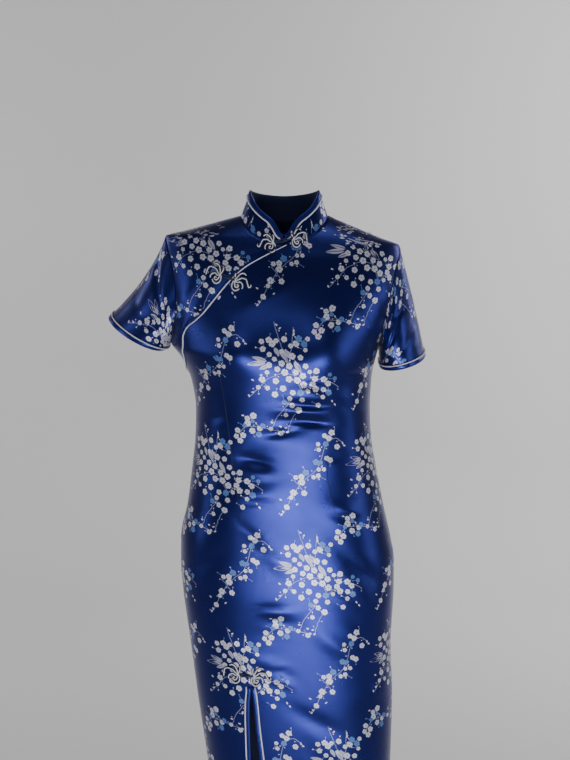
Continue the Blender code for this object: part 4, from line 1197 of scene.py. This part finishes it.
def on_front(turn, z):
    kept = (z > HEM + 0.006) & ~in_armhole(turn, z, False) & (np.abs(turn) < SIDE - SEAM_MARGIN)
    slanted = np.interp(turn, PLACKET_LINE[:, 0], PLACKET_LINE[:, 1]) - TRIM_MARGIN
    necked = np.interp(turn, NECK_FRONT_LINE[:, 0], NECK_FRONT_LINE[:, 1]) - 0.002
    kept &= z < np.where(turn < 0, slanted, necked)
    beside = np.abs(form(turn, z, 0)[:, 0] - SLIT_PLACE(z)) < SLIT_GAP(z) / 2 + TRIM_MARGIN
    return kept & ~(beside & (z < SLIT_TOP + 0.004))


def on_under(turn, z):
    kept = (turn < -0.02) & ~in_armhole(turn, z, False) & (np.abs(turn) < SIDE - SEAM_MARGIN)
    kept &= z > np.interp(turn, PLACKET_LINE[:, 0], PLACKET_LINE[:, 1]) + 0.0016
    return kept & (z < np.interp(-turn, NECK_FRONT_LINE[:, 0], NECK_FRONT_LINE[:, 1]) - 0.002)


def on_back(turn, z):
    away = np.abs(turn - math.pi)
    line = NECK_BACK_LINE[::-1]
    kept = (z > HEM + 0.006) & ~in_armhole(turn, z, True) & (away < SIDE - SEAM_MARGIN)
    return kept & (z < np.interp(away, math.pi - line[:, 0], line[:, 1]) - 0.002)


def body_weave(name, cloth, test, back, shift, tuck=None):
    """The woven sprays of one body panel."""
    pieces = list(repeats(-0.30, 0.30, HEM, 0.0, shift))
    z = np.array([piece[2] for piece in pieces])
    across = np.array([piece[1] for piece in pieces]) - FABRIC_TILT * (z + 0.20)
    turn = turns_from(across, z, back)
    kept = test(turn, z)
    ahead = form(turn + 0.004, z, 0) - form(turn - 0.004, z, 0)
    speed = np.maximum(np.linalg.norm(ahead, axis=1) / 0.008, 0.02)
    rise = form(turn, z + 0.001, 0) - form(turn, z - 0.001, 0)
    climb = np.maximum(np.linalg.norm(rise, axis=1) / 0.002, 1.0)
    found = []
    for k in np.nonzero(kept)[0]:
        points, u, v, thread = pieces[k]
        spots = turn[k] + points[:, 0] / speed[k]
        heights = np.minimum(z[k] + points[:, 1] / climb[k], -0.0005)
        if not back:
            spots = np.clip(spots, -SIDE + 0.004, SIDE - 0.004)
        found.append((spots, heights, thread, np.linalg.norm(points, axis=1).max()))

    def place(a, b):
        points = form(a, b)
        return points if tuck is None else points - facing_out(a, b) * tuck(a, b)[:, None]

    return weave(name, found, place, cloth)


def under_tuck(a, b):
    """How far the under piece lies beneath the front's surface near the slanting edge."""
    line = np.interp(a, PLACKET_LINE[:, 0], PLACKET_LINE[:, 1])
    far = np.clip((b - line) / 0.028, 0, 1)
    return TUCK_DEPTH * (1 - far) ** 2 * 0.9


SLEEVE_ROUND = 0.34
SLEEVE_LENGTH = 0.150


def sleeve_weave(side, word, cloth, shift):
    """The woven sprays of one sleeve, clear of its hem binding."""
    pieces = list(repeats(0, SLEEVE_ROUND, -SLEEVE_LENGTH, 0, shift))
    angle = np.array([piece[1] for piece in pieces]) / SLEEVE_ROUND * 2 * math.pi
    share = -np.array([piece[2] for piece in pieces]) / SLEEVE_LENGTH
    none = np.zeros(len(angle))
    long = np.linalg.norm(sleeve_point(side, angle, none + 1) - sleeve_point(side, angle, none), axis=1)
    near = sleeve_point(side, angle + 0.01, share) - sleeve_point(side, angle - 0.01, share)
    speed = np.maximum(np.linalg.norm(near, axis=1) / 0.02, 0.02)
    margin = 0.0122 / np.maximum(long, 0.03)
    kept = (share < 1 - margin) & (share > 0.02)
    found = []
    for k in np.nonzero(kept)[0]:
        points, u, v, thread = pieces[k]
        spread = np.clip(share[k] - points[:, 1] / max(long[k], 0.03), 0.003, 1 - margin[k] * 0.9)
        reach = np.linalg.norm(points, axis=1).max()
        found.append((angle[k] + points[:, 0] / speed[k], spread, thread, reach))
    return weave(f"sleeve_weave_{word}", found, lambda a, b: sleeve_point(side, a, b), cloth)


def collar_weave(cloth, points):
    """Woven sprays on the collar, clear of its binding and piping."""
    rows, columns = points.shape[:2]
    angles = collar_angles()
    middle_row = points[rows // 2]
    far = np.concatenate([[0], np.cumsum(np.linalg.norm(np.diff(middle_row, axis=0), axis=1))])
    found = []

    def at(grid, a, b):
        c = np.clip(np.interp(a, far, np.arange(columns)), 0, columns - 1.001)
        r = np.clip(b * (rows - 1), 0, rows - 1.001)
        i = r.astype(int)
        j = c.astype(int)
        s = (r - i)[:, None]
        t = (c - j)[:, None]
        low = grid[i, j] * (1 - t) + grid[i, j + 1] * t
        high = grid[i + 1, j] * (1 - t) + grid[i + 1, j + 1] * t
        return low * (1 - s) + high * s

    for spots, u, v, thread in repeats(0.0, far[-1], 0.0, 0.045, (0.02, 0.235)):
        angle = math.degrees(float(np.interp(u, far, angles)))
        near = angle if angle <= 180 else 360 - angle
        height = float(COLLAR_HEIGHT(near))
        steep = 2.0 if near < 22 else 1.0
        if v < 0.003 or v > height - 0.0115 * steep or u < 0.012 or u > far[-1] - 0.012:
            continue
        reach = np.linalg.norm(spots, axis=1).max()
        found.append((u + spots[:, 0], np.clip((v + spots[:, 1]) / height, 0.01, 1), thread, reach))
    return weave("collar_weave", found, lambda a, b: at(points, a, b), cloth)


def dart(name, line, count=40):
    """The sunk seam of a dart: a thin strip of near-black painted shade that follows the front."""
    spots = even(line, count)
    turns = turn_at(spots[:, 0], spots[:, 1])
    points = form(turns, spots[:, 1])
    out = facing_out(turns, spots[:, 1])
    along = unit(np.gradient(points, axis=0))
    across = unit(np.cross(along, out))
    half = 0.0007 * np.sin(np.linspace(0.15, math.pi - 0.15, count + 1))[:, None]
    profile = [(-1, 0.00002), (0, 0.00026), (1, 0.00002), (0, -0.0002)]
    rings = np.stack([points + across * half * a + out * b for a, b in profile], axis=1)
    return link(name, sweep(name, rings, False), [PAINTED_SEAM_SHADE])


DARTS = {
    "dart_right": [
        (-0.111, -0.214), (-0.100, -0.290), (-0.090, -0.370), (-0.087, -0.407), (-0.078, -0.465), (-0.070, -0.517),
    ],
    "dart_left": [(0.0755, -0.275), (0.0715, -0.340), (0.070, -0.419), (0.078, -0.465), (0.089, -0.510)],
}

# Scroll strokes of a frog half, in millimetres from where its cords gather
TALL = [(0, 0), (-1.6, 4.6), (-2.4, 8.6), (-1.5, 12.6)]
PETAL_TOP = [(0, 0), (1.9, 6.3), (6.3, 12.7), (10.1, 13.9), (13.9, 12.0)]
PETAL_LOW = [(0, 0), (3.8, -1.9), (7.6, 0), (12.0, -1.9), (13.9, -6.3), (13.4, -9.0)]
ROUND = [(0, 0), (-2.5, -2.5), (-2.9, -7.6), (-0.6, -12.7), (3.8, -14.6), (7.6, -12.6), (9.9, -9.6)]
HEART = [(0, 0), (0.2, -2.5), (1.3, -6.3), (3.2, -9.2), (5.9, -9.0), (7.2, -6.5), (5.6, -4.9), (4.3, -6.2)]
SCROLL = [
    TALL,
    PETAL_TOP,
    [(0, 0), (3.8, 1.9), (8.9, 6.3), (15.8, 7.6), (20.3, 5.1), (21.2, -1.3), (20.9, -7.0)],
    PETAL_LOW,
    ROUND,
    HEART,
]
CURLED = [
    TALL,
    PETAL_TOP,
    [(0, 0), (3.8, 1.9), (8.9, 6.3), (14.6, 6.8), (19.3, 1.6), (23.2, -3.4), (25.6, -0.9), (24.6, 1.8)],
    PETAL_LOW,
    ROUND,
    HEART,
]
# Frogs: name, loop side gather, knot side gather, turn in degrees, size, charts
FROGS = [
    ("neck", (-0.0195, -0.0420), (0.0140, -0.0355), 8, 1.00, (CURLED, SCROLL)),
    ("shoulder", (-0.1045, -0.0925), (-0.0800, -0.1010), -18, 1.05, (SCROLL, CURLED)),
    ("slit", (-0.0800, -0.7720), (-0.0530, -0.7740), -4, 1.15, (SCROLL, CURLED)),
]
FROG_CORD = 0.00095
FROG_BASE = 0.0023


def depth_at(tree, x, z, around):
    """How far forward the dress reaches near this place."""
    best = 1.0
    for dx, dz in ((0, 0), (1, 0), (-1, 0), (0, 1), (0, -1)):
        hit = tree.ray_cast(Vector((x + dx * around, -0.4, z + dz * around)), Vector((0, 1, 0)))[0]
        if hit is not None and hit.y < 0.05:
            best = min(best, hit.y)
    return best


def laid_cord(tree, line, radius, squash, lift, sides=10, closed=False):
    """Rings of a cord laid on the front along places across and up."""
    depths = np.array([depth_at(tree, x, z, radius) for x, z in line])
    for _ in range(3):
        inner = (np.roll(depths, 1) + 2 * depths + np.roll(depths, -1)) / 4
        smoothed = np.minimum(depths, inner)
        depths = smoothed if closed else np.concatenate([depths[:1], smoothed[1:-1], depths[-1:]])
    points = np.array([(x, y - lift - radius * squash, z) for (x, z), y in zip(line, depths)])
    if closed:
        along = unit(np.roll(points, -1, axis=0) - np.roll(points, 1, axis=0))
    else:
        along = unit(np.gradient(points, axis=0))
    flat = along * np.array([1.0, 0.0, 1.0])
    across = unit(np.stack([-flat[:, 2], np.zeros(len(flat)), flat[:, 0]], axis=1))
    up = unit(np.cross(along, across))
    rings = []
    for k in range(sides):
        angle = 2 * math.pi * k / sides
        rings.append(points + across * radius * math.cos(angle) + up * radius * squash * math.sin(angle))
    rings = np.stack(rings, axis=1)
    if not closed:
        for end, scale in ((0, 0.3), (1, 0.8), (-2, 0.85), (-1, 0.35)):
            rings[end] = points[end] + (rings[end] - points[end]) * scale
    return rings


def placed(stroke, gather, mirror, turn, size, count=22):
    """One scroll stroke placed on the dress."""
    cos = math.cos(math.radians(turn))
    sin = math.sin(math.radians(turn))
    places = []
    for a, b in even(stroke, count):
        a = a * mirror * size * 0.001
        b = b * size * 0.001
        places.append((gather[0] + a * cos - b * sin, gather[1] + a * sin + b * cos))
    return places


def joined(name, parts, materials, replaced):
    """Several swept parts as one mesh, the first list with the first material and so on."""
    work = bmesh.new()
    for index, group in enumerate(parts):
        for mesh in group:
            start = len(work.faces)
            work.from_mesh(mesh)
            work.faces.ensure_lookup_table()
            for face in work.faces[start:]:
                face.material_index = index
                face.smooth = True
            bpy.data.meshes.remove(mesh)
    mesh = bpy.data.meshes.new(name)
    work.to_mesh(mesh)
    work.free()
    return link(name, mesh, materials, replaced)


def build_frog(tree, name, start, end, turn, size, charts):
    """Both halves of a frog, with the loop and knot that close it."""
    for word, gather, mirror, chart in (("loop", start, -1, charts[0]), ("knot", end, 1, charts[1])):
        whites, bases = [], []
        for k, stroke in enumerate(chart):
            line = placed(stroke, gather, mirror, turn, size)
            bases.append(sweep("base", laid_cord(tree, line, FROG_BASE, 0.35, 0.0002), False))
            whites.append(sweep("white", laid_cord(tree, line, FROG_CORD, 0.85, 0.0012 + 0.00005 * k), False))
        front = depth_at(tree, *gather, 0.0018)
        ball = bmesh.new()
        bmesh.ops.create_uvsphere(ball, u_segments=16, v_segments=10, radius=0.0019)
        for vertex in ball.verts:
            vertex.co = (gather[0] + vertex.co.x, front - 0.0020 + vertex.co.y * 0.8, gather[1] + vertex.co.z)
        mesh = bpy.data.meshes.new("gather")
        ball.to_mesh(mesh)
        ball.free()
        whites.append(mesh)
        node = f"frog_{name}_{word}_scroll"
        joined(f"{node}_cord", [whites, bases], [CORD, NAVY_CORD], [node])
    start = np.array(start)
    end = np.array(end)
    way = unit(end - start)
    far = float(np.linalg.norm(end - start))
    aside = np.array([-way[1], way[0]])
    middle = start + way * far * 0.55
    ring = []
    for k in range(36):
        angle = 2 * math.pi * k / 36
        along = math.cos(angle)
        reach = (far * 0.55 if along < 0 else 0.0046) * along
        wide = 0.0024 * math.sin(angle) * (1.0 if along > 0 else 0.75)
        ring.append(tuple(middle + way * reach + aside * wide))
    loop = sweep("ring", laid_cord(tree, ring, 0.00105, 0.9, 0.0006, closed=True), True)
    joined(f"frog_{name}_loop_cord", [[loop]], [NAVY_CORD], [f"frog_{name}_loop"])
    front = min(depth_at(tree, *(middle + way * t), 0.002) for t in (-0.002, 0.0, 0.002))
    parts = []
    stem = [tuple(end - way * far * t) for t in np.linspace(0.0, 0.40, 14)]
    parts.append(sweep("stem", laid_cord(tree, stem, 0.0012, 0.8, 0.0022), False))
    for tilt in (0, 60, 120):
        coil = []
        for k in range(28):
            angle = 2 * math.pi * k / 28
            a = 0.0019 * math.cos(angle)
            b = 0.0019 * math.sin(angle)
            lean = math.radians(tilt)
            coil.append((a * math.cos(lean), a * math.sin(lean), b))
        coil = np.array(coil)
        centre = np.array([middle[0] + way[0] * 0.001, front - 0.0042, middle[1] + way[1] * 0.001])
        points = centre + coil @ np.array([[way[0], 0, way[1]], [0, -1, 0], [aside[0], 0, aside[1]]])
        along = unit(np.roll(points, -1, axis=0) - np.roll(points, 1, axis=0))
        outward = unit(points - centre)
        across = unit(np.cross(along, outward))
        turns = np.linspace(0, 2 * math.pi, 9)[:-1]
        rings = [points + (outward * math.cos(t) + across * math.sin(t)) * 0.00105 for t in turns]
        parts.append(sweep("coil", np.stack(rings, axis=1), True))
    joined(f"frog_{name}_knot_cord", [parts], [NAVY_CORD], [f"frog_{name}_knot"])


front_item, EDGES, TUCK = build_front()
under_item = build_under(TUCK)
back_item = build_back()
sleeves = {}
for side, word in ((-1, "right"), (1, "left")):
    sleeves[word], hem = build_sleeve(side, word)
    band(f"sleeve_band_{word}", hem, 0.0, SLEEVE_BINDING, True, [f"sleeve_binding_{word}"])
    cord(f"sleeve_cord_{word}", hem, SLEEVE_BINDING + 0.0003 + PIPING, True, [f"sleeve_piping_{word}"])
collar_item, RIM, COLLAR_POINTS = build_collar()
collar_band = band("collar_band", RIM, 0.0, COLLAR_BINDING, False, ["collar_binding"], 0.0006)
collar_cord = cord("collar_cord", RIM, COLLAR_BINDING + 0.0003 + PIPING, False, ["collar_piping"], 0.0006)
edge = EDGES["placket"]
placket_band = band("placket_band", edge, 0.0, PLACKET_BINDING, False, ["placket_binding"])
placket_cord = cord("placket_cord", edge, PLACKET_BINDING + 0.0003 + PIPING, False, ["placket_piping"])
under_trims = [front_item, under_item, collar_item, collar_band, collar_cord, placket_band, placket_cord]
for half in ("left", "right"):
    edge = EDGES[f"slit_{half}"]
    under_trims.append(band(f"slit_band_{half}", edge, 0.0002, SLIT_BINDING, False, [f"slit_binding_{half}"]))
    place = SLIT_BINDING + 0.0003 + PIPING
    under_trims.append(cord(f"slit_cord_{half}", edge, place, False, [f"slit_piping_{half}"]))

body_weave("front_weave", front_item, on_front, False, (-0.163, -0.140))
body_weave("under_weave", under_item, on_under, False, (0.005, 0.052), under_tuck)
body_weave("back_weave", back_item, on_back, True, (-0.185, -0.080))
sleeve_weave(-1, "right", sleeves["right"], (-0.05, 0.02))
sleeve_weave(1, "left", sleeves["left"], (0.03, -0.05))
collar_weave(collar_item, COLLAR_POINTS)
for name, line in DARTS.items():
    dart(name, line)

FROG_TREE = tree_of(under_trims)
for row in FROGS:
    build_frog(FROG_TREE, *row)


def plain(name, colour, roughness=0.9):
    made, shader, place = material(name, roughness)
    join(place.noise(1.2).mix(tuple(c * 0.96 for c in colour[:3]) + (1,), colour), shader, "Base Color")
    return made


def cove(name, profile, wide, kind):
    """A floor that curves up into a backdrop."""
    work = bmesh.new()
    bmesh.ops.create_grid(work, x_segments=1, y_segments=len(profile) - 1, size=0.5)
    for vertex in work.verts:
        y, z = profile[round((vertex.co.y + 0.5) * (len(profile) - 1))]
        vertex.co = (vertex.co.x * wide, y, z)
    for face in work.faces:
        face.smooth = True
    mesh = bpy.data.meshes.new(name)
    work.to_mesh(mesh)
    work.free()
    mesh.materials.append(kind)
    item = bpy.data.objects.new(name, mesh)
    bpy.context.collection.objects.link(item)


FLOOR_HEIGHT = -1.52
WALL_PLACE = 3.7
BEND = 1.4
ARC = [math.pi / 2 * k / 16 for k in range(17)]
PROFILE = [(-7.0, FLOOR_HEIGHT)]
PROFILE += [(WALL_PLACE - BEND + BEND * math.sin(a), FLOOR_HEIGHT + BEND * (1 - math.cos(a))) for a in ARC]
PROFILE += [(WALL_PLACE, 4.5)]
cove("floor_and_backdrop", PROFILE, 16.0, plain("pale_wall", (0.60, 0.585, 0.585, 1)))


def lamp(name, place, target, size, power, colour=(1, 1, 1)):
    data = bpy.data.lights.new(name, "AREA")
    data.shape = "RECTANGLE"
    data.size = size[0]
    data.size_y = size[1]
    data.energy = power
    data.color = colour
    item = bpy.data.objects.new(name, data)
    item.location = place
    item.rotation_euler = (Vector(target) - Vector(place)).to_track_quat("-Z", "Y").to_euler()
    bpy.context.collection.objects.link(item)


# Lights: name, place, target, size, power
LIGHTS = [
    ("low_front", (0.20, -2.2, -1.25), (0.0, 0.0, -0.50), (0.9, 0.40), 30),
    ("left_window", (-2.4, -0.9, -0.1), (0.0, 0.0, -0.45), (0.4, 1.8), 12),
    ("right_window", (2.5, -1.1, -0.3), (0.0, 0.0, -0.55), (0.5, 1.8), 16),
    ("front_soft", (-0.6, -3.0, 0.9), (0.0, 0.0, -0.40), (1.4, 0.9), 8),
    ("top_soft", (0.3, -0.2, 2.2), (0.0, 0.0, -0.2), (1.2, 0.8), 8),
    ("wall_right", (2.6, 1.2, 0.6), (0.9, 3.7, 0.2), (1.6, 1.6), 112),
    ("wall_left", (-2.8, 1.2, 0.4), (-0.9, 3.7, -0.2), (1.6, 1.6), 48),
    ("rear_soft", (0.6, 2.9, 0.3), (0.0, 0.0, -0.5), (1.2, 1.4), 12),
]
for row in LIGHTS:
    lamp(*row)

world = bpy.data.worlds.new("room")
world.use_nodes = True
world.node_tree.nodes["Background"].inputs["Color"].default_value = (0.47, 0.47, 0.50, 1)
world.node_tree.nodes["Background"].inputs["Strength"].default_value = 0.20
bpy.context.scene.world = world

CAMERA_PLACE = (0.0, -2.0, 0.06)
CAMERA_TILT = 80.4
CAMERA_LENS = 56.37
camera_data = bpy.data.cameras.new("camera")
camera_data.lens = CAMERA_LENS
camera = bpy.data.objects.new("camera", camera_data)
camera.location = CAMERA_PLACE
camera.rotation_euler = (math.radians(CAMERA_TILT), 0, 0)
bpy.context.collection.objects.link(camera)
bpy.context.scene.camera = camera
